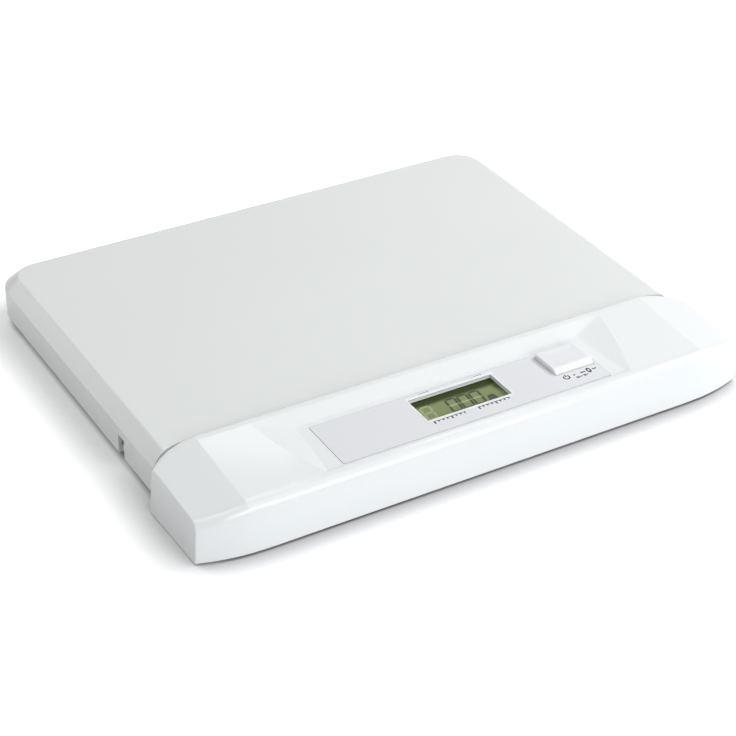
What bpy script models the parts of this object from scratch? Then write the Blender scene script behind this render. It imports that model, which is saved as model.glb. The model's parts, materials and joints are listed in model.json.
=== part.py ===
# Digital baby weighing scale: a control housing in front, a weighing platform
# behind it, and one load cell that carries the platform on the base tray.
# Metres, +X to the right, +Y to the back, +Z up. The feet stand on Z = 0, and the
# origin is under the middle of the scale.

import math

import bmesh
import bpy
from mathutils import Matrix, Vector

# Driving sizes of the whole scale
PLATFORM_WIDTH = 0.360
PLATFORM_DEPTH = 0.2298
HOUSING_DEPTH = 0.0710
HOUSING_OVERHANG = 0.0038
HOUSING_HEIGHT = 0.0340
FOOT_STAND_OFF = 0.0020
SEAM_GAP = 0.0010
SEAT_GAP = 0.0003
OVERRUN = 0.0020

# Platform cover
PLATFORM_DROP = 0.0032
COVER_WALL = 0.0026
COVER_CORNER_RADIUS = 0.0245
BEVEL_WIDTH = 0.0092
BEVEL_DROP = 0.0069
SKIRT_RISE = 0.0055
NOTCH_WIDTH = 0.0080
NOTCH_HEIGHT = 0.0130
NOTCH_SETBACK = 0.0365
CABLE_NOTCH_WIDTH = 0.0144
CABLE_NOTCH_HEIGHT = 0.0048
CABLE_NOTCH_OFFSET = 0.0100

# Control housing
HOUSING_WALL = 0.0022
CREST_RADIUS = 0.0026
RIM_WIDTH = 0.0058
BACK_WALL_LIFT = 0.0071
RECESS_DEPTH = 0.0045
RECESS_SLOPE_RUN = 0.0097
RECESS_SIDE_SPREAD = 0.0060
RECESS_SLOPE_BACK = 0.0245
RECESS_SLOPE_FRONT = 0.0020
LIP_WIDTH = 0.0095
LIP_RISE = 0.0007
FRONT_RADIUS = 0.0056
FRONT_LEAN = 0.0018
FRONT_SWEEP = 0.00755
FRONT_SWEEP_RUN = 0.0438
BACK_SWEEP = 0.01065
BACK_SWEEP_RUN = 0.0258
CREASE_INSET = 0.0308
SIDE_EDGE_DROP = 0.0060
SIDE_EDGE_FALL = 0.0042
SIDE_LEAN = 0.0024
SIDE_FLARE = 0.0016

# Label, display and key in the recess
LABEL_SIDE_MARGIN = 0.0045
LABEL_DEPTH = 0.0393
LABEL_THICKNESS = 0.0004
LABEL_POCKET = 0.0005
LABEL_CORNER_RADIUS = 0.0015
LABEL_FRONT_MARGIN = 0.0022
WINDOW_WIDTH = 0.0570
WINDOW_DEPTH = 0.0226
WINDOW_MARGIN = 0.0044
KEY_WIDTH = 0.0272
KEY_DEPTH = 0.0220
KEY_SIDE_MARGIN = 0.0156
KEY_MARGIN = 0.0024
KEY_PROUD = 0.0031
KEY_CLEARANCE = 0.0004
KEY_WALL = 0.0014
KEY_FLANGE = 0.0016
KEY_EDGE_RADIUS = 0.0006
KEY_STEP = 0.0004
KEY_FRONT_RUN = 0.0033
LCD_BORDER = 0.0030
LCD_THICKNESS = 0.0028
STRIP_HEIGHT = 0.0034
STRIP_WIDTH = 0.0024
FRAME_RING = 0.0022

# Circuit board and what it carries
BOARD_THICKNESS = 0.0016
BOARD_MARGIN = 0.0070
BOARD_KEY_REACH = 0.0211
BOARD_DEPTH = 0.0380
BOARD_SCREW_INSET = 0.0028
BOARD_SCREW_RADIUS = 0.0010
BOARD_HEAD_RADIUS = 0.0020
BOARD_HEAD_HEIGHT = 0.0013
BOARD_SCREW_REACH = 0.0036
BOARD_BOSS_RADIUS = 0.0028
CHIP_SIDE = 0.0120
CHIP_HEIGHT = 0.0014
SOCKET_WIDTH = 0.0076
SOCKET_DEPTH = 0.0054
SOCKET_HEIGHT = 0.0048
SOCKET_OFFSET = 0.0288
DOME_RADIUS = 0.0065
DOME_SHOULDER_RADIUS = 0.0049
DOME_TIP_RADIUS = 0.0035
DOME_SHEET = 0.0009

# Base tray
TRAY_CLEARANCE = 0.0031
TRAY_FRONT_CLEARANCE = 0.0022
TRAY_CORNER_RADIUS = 0.0200
TRAY_FLOOR = 0.0025
TRAY_RIM = 0.0018
TRAY_RIM_WALL = 0.0020
RIB_HEIGHT = 0.0040
CROSS_RIB_HEIGHT = 0.0038
RIB_WIDTH = 0.0018
RIB_INSET = 0.0062
FOOT_RADIUS = 0.0090
FOOT_POCKET = 0.0010
FOOT_TAPER = 0.0005
FOOT_INSET = 0.0165

# Load cell stack
CELL_LENGTH = 0.0800
CELL_SECTION = 0.0127
CELL_WINDOW_RADIUS = 0.0045
CELL_WINDOW_HALF = 0.0065
CELL_SLOT = 0.0045
CELL_SCREW_END = 0.0050
CELL_SCREW_PITCH = 0.0150
CELL_SCREW_DEPTH = 0.0080
SEAL_HALF_LENGTH = 0.0104
SEAL_THICKNESS = 0.0015
SEAL_HEIGHT = 0.0095
SHIM_THICKNESS = 0.0015
PEDESTAL_LENGTH = 0.0250
PEDESTAL_WIDTH = 0.0178
FRAME_PLATE = 0.0020
FRAME_FLANGE = 0.0060
FRAME_INSET = 0.0480
FRAME_BEAM_WIDTH = 0.0440
FRAME_ARM_WIDTH = 0.0240
FRAME_ARM_LENGTH = 0.1600
STOP_INSET = 0.0336
STOP_CLEARANCE = 0.0009
STOP_RADIUS = 0.0030
STOP_BOSS_HEIGHT = 0.0030
CABLE_DIAMETER = 0.0024

# Fasteners
M4_RADIUS = 0.0020
M3_RADIUS = 0.0014
HEAD_RADIUS_M4 = 0.0036
HEAD_HEIGHT_M4 = 0.0022
FRAME_HEAD_HEIGHT = 0.0019
COVER_SCREW_INSET = 0.0096
HEAD_RADIUS_M3 = 0.0028
HEAD_HEIGHT_M3 = 0.0019
SCREW_REACH = 0.0040
BORE_REACH = 0.0046
BOSS_WALL = 0.0024
BOSS_HEIGHT = 0.0060
WING_SCREW_CLEARANCE = 0.0104
WING_SCREW_INSET = 0.0326
WING_SCREW_MARGIN = 0.0156
FRONT_SCREW_MARGIN = 0.0185

# Battery bay, its cells and its door
BATTERY_COUNT = 4
BATTERY_DIAMETER = 0.0142
BATTERY_BODY = 0.0492
BATTERY_NUB = 0.0010
BATTERY_NUB_RADIUS = 0.0027
BATTERY_SPACING = 0.0148
BAY_SPACING = 0.0114
BAY_CLEARANCE = 0.0025
BAY_WALL = 0.0016
CONTACT_SHEET = 0.0006
CONTACT_WIDTH = 0.0100
CONTACT_DROP = 0.0036
CONTACT_RISE = 0.0047
CONTACT_BUMP = 0.0006
TAB_WIDTH = 0.0030
TAB_RISE = 0.0020
SPRING_ROOM = 0.0042
SPRING_WIRE = 0.0006
SPRING_FOOT_RADIUS = 0.0048
SPRING_TIP_RADIUS = 0.0029
SPRING_TURNS = 3
DOOR_PLATE = 0.0021
DOOR_GAP = 0.0004
DOOR_RIB = 0.0004
DOOR_RIB_WIDTH = 0.0020
HOOK_LENGTH = 0.0030
HOOK_WIDTH = 0.0040
HOOK_THICKNESS = 0.0011
HOOK_SWING_ROOM = 0.0033
GRIP_WIDTH = 0.0150
GRIP_RADIUS = 0.0034
GRIP_DEPTH = 0.0012
GRIP_INSET = 0.0084
LEAD_DIAMETER = 0.0014

# Routes between the ends of the cable and of the two battery leads
CABLE_ROUTE = [(-0.0152, 0.0268, 0.0150), (-0.0185, 0.0215, 0.0108), (-0.0200, 0.0126, 0.0062),
               (-0.0180, -0.0064, 0.0060), (-0.0120, -0.0500, 0.0060), (-0.0100, -0.0780, 0.0060),
               (0.0088, -0.0904, 0.0060), (0.0228, -0.0984, 0.0066)]
LONG_LEAD_ROUTE = [(-0.1045, -0.0900, 0.0262), (-0.0990, -0.0960, 0.0270), (-0.0850, -0.1030, 0.0264),
                   (-0.0600, -0.1070, 0.0258), (-0.0440, -0.1080, 0.0256)]
SHORT_LEAD_ROUTE = [(-0.0600, -0.0900, 0.0262), (-0.0540, -0.0960, 0.0266), (-0.0450, -0.1040, 0.0256)]

# Shares of the sizes that they follow
RECESS_SHARE = 0.51687
FREE_HEIGHT_SHARES = {"pedestal": 0.35, "spacer": 0.30}
FLOOR_SHARES = (0.0, 0.5, 1.0)
SLOPE_SHARES = (0.25, 0.5, 0.75, 1.0)
WING_SHARES = (0.4, 0.75, 1.0)
FRONT_ROUND_SHARES = (0.0, 0.25, 0.5, 0.75, 1.0)
CREST_ROUND_SHARES = (0.0, 0.5)
RECESS_WALL_SHARES = (0.0, 0.25, 0.5, 0.75, 1.0)
RECESS_FLOOR_SHARES = (0.4, 0.75, 1.0)
COVER_FRONT_SHARES = (0.45, 0.86, 0.91, 0.955, 1.0)
BEVEL_SHARES = ((0.60, 0.67), (0.75, 0.82), (0.88, 0.94), (1.0, 1.0))

ROUND_SIDES = 16
SCREW_SIDES = 12
CORNER_STEPS = 7
SMOOTH_ANGLE = math.radians(35)

# Levels and places that follow from the sizes
PLATFORM_HALF = PLATFORM_WIDTH / 2
HOUSING_HALF = PLATFORM_HALF + HOUSING_OVERHANG
RECESS_HALF_WIDTH = HOUSING_HALF * RECESS_SHARE
FRONT_SWEEP_START = HOUSING_HALF - FRONT_SWEEP_RUN
BACK_SWEEP_START = HOUSING_HALF - BACK_SWEEP_RUN
CREASE_HALF_WIDTH = HOUSING_HALF - CREASE_INSET
TOTAL_DEPTH = HOUSING_DEPTH + SEAM_GAP + PLATFORM_DEPTH
FRONT_Y = -TOTAL_DEPTH / 2
BACK_Y = TOTAL_DEPTH / 2
SEAM_Y = FRONT_Y + HOUSING_DEPTH
PLATFORM_FRONT_Y = SEAM_Y + SEAM_GAP
PLATFORM_MID_Y = (PLATFORM_FRONT_Y + BACK_Y) / 2
BASE_Z = FOOT_STAND_OFF
FLOOR_Z = BASE_Z + TRAY_FLOOR
CREST_Z = BASE_Z + HOUSING_HEIGHT
PANEL_Z = CREST_Z - RECESS_DEPTH
PANEL_UNDER_Z = PANEL_Z - HOUSING_WALL
PLATFORM_TOP_Z = CREST_Z - PLATFORM_DROP
COVER_UNDER_Z = PLATFORM_TOP_Z - COVER_WALL
BEVEL_FOOT_Z = PLATFORM_TOP_Z - BEVEL_DROP
SKIRT_Z = BASE_Z + SKIRT_RISE
TRAY_HALF = PLATFORM_HALF - COVER_WALL - TRAY_CLEARANCE
TRAY_FRONT_Y = FRONT_Y + HOUSING_WALL + TRAY_FRONT_CLEARANCE
TRAY_BACK_Y = BACK_Y - COVER_WALL - TRAY_CLEARANCE
LIP_T = HOUSING_DEPTH - LIP_WIDTH
RECESS_FOOT_T = RIM_WIDTH + RECESS_SLOPE_RUN

# The pedestal, the spacer and the cover's bosses share the height that the
# load cell, its shim and the frame leave free between the tray and the cover
FREE_HEIGHT = COVER_UNDER_Z - FLOOR_Z - SHIM_THICKNESS - CELL_SECTION - FRAME_PLATE - 5 * SEAT_GAP
PEDESTAL_Z = FLOOR_Z + FREE_HEIGHT * FREE_HEIGHT_SHARES["pedestal"]
SHIM_Z = PEDESTAL_Z + SEAT_GAP
CELL_Z = SHIM_Z + SHIM_THICKNESS + SEAT_GAP
CELL_TOP_Z = CELL_Z + CELL_SECTION
SPACER_Z = CELL_TOP_Z + SEAT_GAP
SPACER_TOP_Z = SPACER_Z + FREE_HEIGHT * FREE_HEIGHT_SHARES["spacer"]
FRAME_Z = SPACER_TOP_Z + SEAT_GAP
FRAME_TOP_Z = FRAME_Z + FRAME_PLATE
COVER_BOSS_Z = FRAME_TOP_Z + SEAT_GAP
FRAME_HALF_LENGTH = PLATFORM_HALF - FRAME_INSET
STOP_SPACING = FRAME_ARM_LENGTH - 2 * STOP_INSET
COVER_SCREW_SPACING = FRAME_ARM_LENGTH - 2 * COVER_SCREW_INSET
ARM_MID_X = FRAME_HALF_LENGTH - FRAME_ARM_WIDTH / 2

# Under the panel: display, strips and board, from the top down
LCD_TOP_Z = PANEL_UNDER_Z - SEAT_GAP
LCD_Z = LCD_TOP_Z - LCD_THICKNESS
STRIP_TOP_Z = LCD_Z - SEAT_GAP
STRIP_Z = STRIP_TOP_Z - STRIP_HEIGHT
BOARD_TOP_Z = STRIP_Z - SEAT_GAP
BOARD_Z = BOARD_TOP_Z - BOARD_THICKNESS
KEY_TOP_Z = PANEL_Z + KEY_PROUD
KEY_STEP_Z = PANEL_Z + KEY_STEP
KEY_FLANGE_TOP_Z = PANEL_UNDER_Z - SEAT_GAP
KEY_FOOT_Z = KEY_FLANGE_TOP_Z - KEY_WALL

# In plan
LABEL_WIDTH = 2 * (RECESS_HALF_WIDTH - LABEL_SIDE_MARGIN)
KEY_OFFSET = LABEL_WIDTH / 2 - KEY_SIDE_MARGIN
LABEL_FRONT_Y = SEAM_Y - LIP_T + LABEL_FRONT_MARGIN
LABEL_BACK_Y = LABEL_FRONT_Y + LABEL_DEPTH
LABEL_MID_Y = (LABEL_FRONT_Y + LABEL_BACK_Y) / 2
WINDOW_MID_Y = LABEL_BACK_Y - WINDOW_MARGIN - WINDOW_DEPTH / 2
KEY_MID_Y = LABEL_BACK_Y - KEY_MARGIN - KEY_DEPTH / 2
LCD_HALF_X = WINDOW_WIDTH / 2 + LCD_BORDER
LCD_HALF_Y = WINDOW_DEPTH / 2 + LCD_BORDER
BOARD_LEFT = LCD_HALF_X + SEAT_GAP + FRAME_RING + BOARD_MARGIN
BOARD_RIGHT = KEY_OFFSET + BOARD_KEY_REACH
SOCKET_Y = WINDOW_MID_Y + BOARD_DEPTH / 2 - SOCKET_DEPTH

# Battery bay
BAY_HALF_X = BATTERY_COUNT * BATTERY_SPACING / 2 + DOOR_GAP
BAY_OFFSET = BOARD_LEFT + BAY_SPACING + BAY_WALL + BAY_HALF_X
BAY_MID_X = -BAY_OFFSET
BAY_DEPTH = (BATTERY_BODY + BATTERY_NUB + SPRING_ROOM + CONTACT_BUMP
             + 2 * CONTACT_SHEET + 3 * SEAT_GAP)
BAY_BACK_Y = SEAM_Y - HOUSING_WALL - BAY_CLEARANCE - BAY_WALL
BAY_FRONT_Y = BAY_BACK_Y - BAY_DEPTH
BAY_MID_Y = (BAY_BACK_Y + BAY_FRONT_Y) / 2
DOOR_TOP_Z = BASE_Z + DOOR_PLATE
BATTERY_Z = DOOR_TOP_Z + DOOR_RIB + SEAT_GAP + BATTERY_DIAMETER / 2
BAY_ROOF_Z = BATTERY_Z + BATTERY_DIAMETER / 2 + SEAT_GAP
BAY_TOP_Z = BAY_ROOF_Z + BAY_WALL
TAB_TOP_Z = BAY_TOP_Z + TAB_RISE
HINGE_Y = BAY_BACK_Y - DOOR_GAP
HOOK_Z = FLOOR_Z + SEAT_GAP

# Screw seats
WING_SCREW_FRONT_X = BAY_OFFSET + BAY_HALF_X + BAY_WALL + WING_SCREW_CLEARANCE
WING_SCREW_BACK_X = HOUSING_HALF - WING_SCREW_INSET
HOUSING_BOSS_RADIUS = M3_RADIUS + BOSS_WALL
HOUSING_BOSS_Z = FLOOR_Z + BOSS_HEIGHT
M3_SEAT_Z = BASE_Z + SEAT_GAP + HEAD_HEIGHT_M3
M4_SEAT_Z = BASE_Z + SEAT_GAP + HEAD_HEIGHT_M4
STOP_BOSS_Z = FLOOR_Z + STOP_BOSS_HEIGHT


# Collections, materials and objects
def new_collection(name):
    collection = bpy.data.collections.new(name)
    bpy.context.scene.collection.children.link(collection)
    return collection


def new_material(name, colour, roughness, metallic=0.0):
    material = bpy.data.materials.new(name)
    material.use_nodes = True
    shader = material.node_tree.nodes["Principled BSDF"]
    shader.inputs["Base Color"].default_value = (*colour, 1.0)
    shader.inputs["Roughness"].default_value = roughness
    shader.inputs["Metallic"].default_value = metallic
    return material


def mesh_from(name, bm):
    bmesh.ops.recalc_face_normals(bm, faces=bm.faces)
    mesh = bpy.data.meshes.new(name)
    bm.to_mesh(mesh)
    bm.free()
    return mesh


def new_part(name, mesh, material, location=(0.0, 0.0, 0.0), joint=None):
    obj = bpy.data.objects.new(name, mesh)
    obj.location = location
    parts.objects.link(obj)
    if joint is not None:
        obj.parent = joint
        obj.matrix_parent_inverse = joint.matrix_world.inverted()
    obj.data.materials.clear()
    obj.data.materials.append(material)
    return obj


def smooth(mesh):
    mesh.shade_smooth()
    mesh.set_sharp_from_angle(angle=SMOOTH_ANGLE)


def add_empty(name, location):
    empty = bpy.data.objects.new(name, None)
    empty.location = location
    parts.objects.link(empty)
    return empty


def evaluated_mesh(obj):
    bpy.context.view_layer.update()
    graph = bpy.context.evaluated_depsgraph_get()
    return bpy.data.meshes.new_from_object(obj.evaluated_get(graph))


def apply_modifiers(obj):
    mesh, old = evaluated_mesh(obj), obj.data
    obj.modifiers.clear()
    obj.data = mesh
    bpy.data.meshes.remove(old)


# Primitives, added to a bmesh
def add_box(bm, low, high):
    made = bmesh.ops.create_cube(bm, size=1.0)["verts"]
    size = [b - a for a, b in zip(low, high)]
    middle = [(a + b) / 2 for a, b in zip(low, high)]
    bmesh.ops.scale(bm, vec=size, verts=made)
    bmesh.ops.translate(bm, vec=middle, verts=made)
    return made


def add_rounded_box(bm, low, high, radius, steps=CORNER_STEPS):
    made = add_box(bm, low, high)
    upright = [edge for edge in {edge for vert in made for edge in vert.link_edges}
               if abs(edge.verts[0].co.z - edge.verts[1].co.z) > radius / 100
               and abs(edge.verts[0].co.x - edge.verts[1].co.x) < radius / 100]
    bmesh.ops.bevel(bm, geom=upright, offset=radius, segments=steps, profile=0.5, affect="EDGES")


def add_cylinder(bm, x, y, low_z, high_z, radius, top_radius=None, sides=ROUND_SIDES):
    made = bmesh.ops.create_cone(bm, cap_ends=True, segments=sides, radius1=radius,
                                 radius2=radius if top_radius is None else top_radius,
                                 depth=high_z - low_z)["verts"]
    bmesh.ops.translate(bm, vec=(x, y, (low_z + high_z) / 2), verts=made)


def add_bar(bm, middle, radius, length, axis, sides=ROUND_SIDES):
    """A cylinder lying along X or Y."""
    made = bmesh.ops.create_cone(bm, cap_ends=True, segments=sides, radius1=radius,
                                 radius2=radius, depth=length)["verts"]
    turn = Matrix.Rotation(math.pi / 2, 3, "Y" if axis == "X" else "X")
    bmesh.ops.rotate(bm, cent=(0.0, 0.0, 0.0), matrix=turn, verts=made)
    bmesh.ops.translate(bm, vec=middle, verts=made)


def shape(builder):
    bm = bmesh.new()
    builder(bm)
    return mesh_from("shape", bm)


def boolean(obj, operation, builders):
    """Joins or cuts each shape in turn and leaves a plain mesh."""
    for number, builder in enumerate(builders):
        tool = bpy.data.objects.new(f"{obj.name}_{operation.lower()}_{number}", shape(builder))
        tool.hide_render = True
        tool.display_type = "WIRE"
        cutters.objects.link(tool)
        modifier = obj.modifiers.new(operation.lower(), "BOOLEAN")
        modifier.operation = operation
        modifier.solver = "EXACT"
        modifier.object = tool
    apply_modifiers(obj)


def join(obj, *builders):
    boolean(obj, "UNION", builders)


def cut(obj, *builders):
    boolean(obj, "DIFFERENCE", builders)


def turned_mesh(profile, sides):
    """A profile of (radius, z) points, from the axis down its outer side and back to the axis."""
    mesh = bpy.data.meshes.new("profile")
    mesh.from_pydata([(radius, 0.0, z) for radius, z in profile],
                     [(i, i + 1) for i in range(len(profile) - 1)], [])
    guide = bpy.data.objects.new("profile", mesh)
    cutters.objects.link(guide)
    screw = guide.modifiers.new("turn", "SCREW")
    screw.steps = sides
    screw.render_steps = sides
    screw.use_merge_vertices = True
    screw.merge_threshold = 0.00001
    turned = evaluated_mesh(guide)
    bpy.data.objects.remove(guide)
    bpy.data.meshes.remove(mesh)
    smooth(turned)
    return turned


def screw_mesh(head_radius, head_height, shank_radius, length, sides=SCREW_SIDES):
    """A pan head screw that hangs with its seat at Z = 0 and its shank below."""
    return turned_mesh([(0.0, head_height), (head_radius, head_height), (head_radius, 0.0),
                        (shank_radius, 0.0), (shank_radius, -length), (0.0, -length)], sides)


def tube_mesh(points, diameter, resolution):
    """A round wire along the points, with its caps welded on."""
    curve = bpy.data.curves.new("tube", "CURVE")
    curve.dimensions = "3D"
    curve.bevel_depth = diameter / 2
    curve.bevel_resolution = resolution
    curve.use_fill_caps = True
    spline = curve.splines.new("POLY")
    spline.points.add(len(points) - 1)
    for point, place in zip(spline.points, points):
        point.co = (*place, 1.0)
    guide = bpy.data.objects.new("tube", curve)
    cutters.objects.link(guide)
    bm = bmesh.new()
    made = evaluated_mesh(guide)
    bm.from_mesh(made)
    bmesh.ops.remove_doubles(bm, verts=bm.verts, dist=SEAT_GAP / 10)
    bpy.data.meshes.remove(made)
    bpy.data.objects.remove(guide)
    bpy.data.curves.remove(curve)
    mesh = mesh_from("tube", bm)
    smooth(mesh)
    return mesh


def smooth_route(places, steps):
    """Catmull-Rom points through a short list of places."""
    places = [Vector(place) for place in places]
    ends = [places[0] * 2 - places[1], *places, places[-1] * 2 - places[-2]]
    route = []
    for a, b, c, d in zip(ends, ends[1:], ends[2:], ends[3:]):
        for i in range(steps):
            t = i / steps
            route.append((2 * b + (c - a) * t + (2 * a - 5 * b + 4 * c - d) * t ** 2
                          + (3 * b - a - 3 * c + d) * t ** 3) / 2)
    route.append(places[-1])
    return route


# Outer form of the control housing; t is the distance in front of its back wall
def share_between(value, start, end):
    return min(max((value - start) / (end - start), 0.0), 1.0)


def back_sweep(x):
    """How far the back wall curves forward near the sides."""
    return BACK_SWEEP * max((abs(x) - BACK_SWEEP_START) / (HOUSING_HALF - BACK_SWEEP_START), 0.0) ** 2.4


def front_sweep(x):
    """How far the front wall curves backward near the sides."""
    return FRONT_SWEEP * max((abs(x) - FRONT_SWEEP_START) / (HOUSING_HALF - FRONT_SWEEP_START), 0.0) ** 2.2


def wing_height(t):
    """Top of the wings: level over the rim, then falling to the front lip."""
    return CREST_Z - (RECESS_DEPTH - LIP_RISE) * share_between(t, RIM_WIDTH, LIP_T)


def side_edge_height(t):
    return CREST_Z - SIDE_EDGE_DROP - SIDE_EDGE_FALL * share_between(t, 0.0, LIP_T) ** 1.6


def side_plane(t, z):
    """Half width of the flat side face."""
    flare = SIDE_FLARE * (1.0 - t / HOUSING_DEPTH)
    lean = SIDE_LEAN * (z - BASE_Z) / HOUSING_HEIGHT
    return HOUSING_HALF + flare - lean


def recess_foot(t):
    return RECESS_HALF_WIDTH + RECESS_SIDE_SPREAD * share_between(t, RIM_WIDTH, LIP_T)


def recess_edge(t):
    along = share_between(t, RIM_WIDTH, LIP_T)
    return recess_foot(t) + RECESS_SLOPE_BACK + (RECESS_SLOPE_FRONT - RECESS_SLOPE_BACK) * along


def housing_stations():
    """Blocks and shares across them, from the middle to the side face."""
    step_in = share_between(TRAY_HALF + SEAM_GAP, CREASE_HALF_WIDTH, HOUSING_HALF)
    step_out = share_between(TRAY_HALF + 2 * SEAM_GAP, CREASE_HALF_WIDTH, HOUSING_HALF)
    outer = (step_in / 3, 2 * step_in / 3, step_in, step_out, (step_out + 1.0) / 2, 1.0)
    blocks = {"floor": FLOOR_SHARES, "slope": SLOPE_SHARES, "wing": WING_SHARES, "outer": outer}
    return [(block, share) for block, shares in blocks.items() for share in shares], step_in


def station_point(block, share, t, low_z=None):
    """Half width and top height of one station at the distance t."""
    foot, edge, ridge = recess_foot(t), recess_edge(t), wing_height(t)
    back_slope = RECESS_DEPTH * (1.0 - share_between(t, RIM_WIDTH, RECESS_FOOT_T))
    lip = LIP_RISE * share_between(t, LIP_T - 2 * LIP_RISE, LIP_T)
    rise = max(back_slope, lip)
    if block == "floor":
        return foot * share, PANEL_Z + rise
    if block == "slope":
        slope = (ridge - PANEL_Z) * share
        blended = (rise ** 4 + slope ** 4) ** 0.25
        return foot + (edge - foot) * share, PANEL_Z + min(blended, ridge - PANEL_Z)
    if block == "wing":
        return edge + (CREASE_HALF_WIDTH - edge) * share, ridge
    z = ridge + (side_edge_height(t) - ridge) * share ** 1.15
    side = side_plane(t, z if low_z is None else low_z)
    return CREASE_HALF_WIDTH + (side - CREASE_HALF_WIDTH) * share, z


def station_row(block, share, step_in):
    """One station's outline, from the foot of the back wall over the top to the front."""
    near_x, _ = station_point(block, share, 0.0)
    back = back_sweep(near_x)
    swept = front_sweep(near_x)
    front = HOUSING_DEPTH - swept
    over_tray = block != "outer" or share < step_in * 1.0001
    row = []

    def add(t, z=None):
        x, top = station_point(block, share, t, z)
        row.append((x, SEAM_Y - t, top if z is None else z))

    _, crest = station_point(block, share, back + CREST_RADIUS)
    add(back, BASE_Z + BACK_WALL_LIFT if over_tray else BASE_Z)
    for part_way in CREST_ROUND_SHARES:
        angle = part_way * math.pi / 2
        add(back + CREST_RADIUS * (1.0 - math.cos(angle)), crest - CREST_RADIUS * (1.0 - math.sin(angle)))
    add(back + CREST_RADIUS)
    for part_way in RECESS_WALL_SHARES:
        add(back * (1.0 - part_way / 2) + RIM_WIDTH + RECESS_SLOPE_RUN * part_way)
    lip_t = LIP_T - swept
    lip_foot_t = lip_t - 2 * LIP_RISE
    for part_way in RECESS_FLOOR_SHARES:
        add(RECESS_FOOT_T + (lip_foot_t - RECESS_FOOT_T) * part_way)
    add(lip_t)
    _, lip_z = station_point(block, share, lip_t)
    centre_z = lip_z - FRONT_RADIUS
    centre_t = front - FRONT_LEAN * (centre_z - BASE_Z) / HOUSING_HEIGHT - FRONT_RADIUS
    for part_way in FRONT_ROUND_SHARES:
        angle = part_way * math.pi / 2
        add(centre_t + FRONT_RADIUS * math.sin(angle), centre_z + FRONT_RADIUS * math.cos(angle))
    add(front, BASE_Z)
    return row


def top_height(x, y):
    """Height of the housing's top surface over a place in plan."""
    t, half = SEAM_Y - y, abs(x)
    if half < recess_foot(t):
        return station_point("floor", 1.0, t)[1]
    if half < recess_edge(t):
        return station_point("slope", share_between(half, recess_foot(t), recess_edge(t)), t)[1]
    return station_point("outer", share_between(half, CREASE_HALF_WIDTH, side_plane(t, PANEL_Z)), t)[1]


# Places that several pieces share
def housing_screw_places():
    """Two pairs in the wings, one between bay and board, one at the recess's right."""
    board_gap = BAY_MID_X + BAY_HALF_X + BAY_WALL, -BOARD_LEFT
    right_x = BOARD_RIGHT + HOUSING_BOSS_RADIUS + HOUSING_WALL + 2 * KEY_FLANGE
    middle_y = SEAM_Y - HOUSING_DEPTH / 2
    places = [(side * WING_SCREW_FRONT_X, FRONT_Y + FRONT_SCREW_MARGIN) for side in (-1, 1)]
    places += [(side * WING_SCREW_BACK_X, SEAM_Y - WING_SCREW_MARGIN) for side in (-1, 1)]
    return places + [(sum(board_gap) / 2, middle_y), (right_x, middle_y)]


def board_screw_places():
    reach = BOARD_DEPTH / 2 - BOARD_SCREW_INSET
    return [(x, WINDOW_MID_Y + side * reach) for side in (-1, 1)
            for x in (-BOARD_LEFT + BOARD_SCREW_INSET, BOARD_RIGHT - BOARD_SCREW_INSET)]


def foot_places():
    x, front, back = TRAY_HALF - FOOT_INSET, TRAY_FRONT_Y + FOOT_INSET, TRAY_BACK_Y - FOOT_INSET
    return {"foot_front_left": (-x, front), "foot_front_right": (x, front),
            "foot_rear_left": (-x, back), "foot_rear_right": (x, back)}


def cell_screw_xs(side):
    outer = CELL_LENGTH / 2 - CELL_SCREW_END
    return [side * outer, side * (outer - CELL_SCREW_PITCH)]


def arm_places(spacing):
    return [(side * ARM_MID_X, PLATFORM_MID_Y + end * spacing / 2) for side in (-1, 1) for end in (-1, 1)]


def battery_x(number):
    return BAY_MID_X + (number - (BATTERY_COUNT - 1) / 2) * BATTERY_SPACING


def battery_way(number):
    """The cells lie head to tail: 1 points the nub to the back, -1 to the front."""
    return 1 if number % 2 == 0 else -1


def battery_mid_y(number):
    way = battery_way(number)
    wall_y = BAY_BACK_Y if way > 0 else BAY_FRONT_Y
    taken = 2 * SEAT_GAP + CONTACT_SHEET + CONTACT_BUMP + BATTERY_NUB + BATTERY_BODY / 2
    return wall_y - way * taken


def hook_xs():
    return [BAY_MID_X + side * BATTERY_SPACING for side in (-1, 1)]


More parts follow.
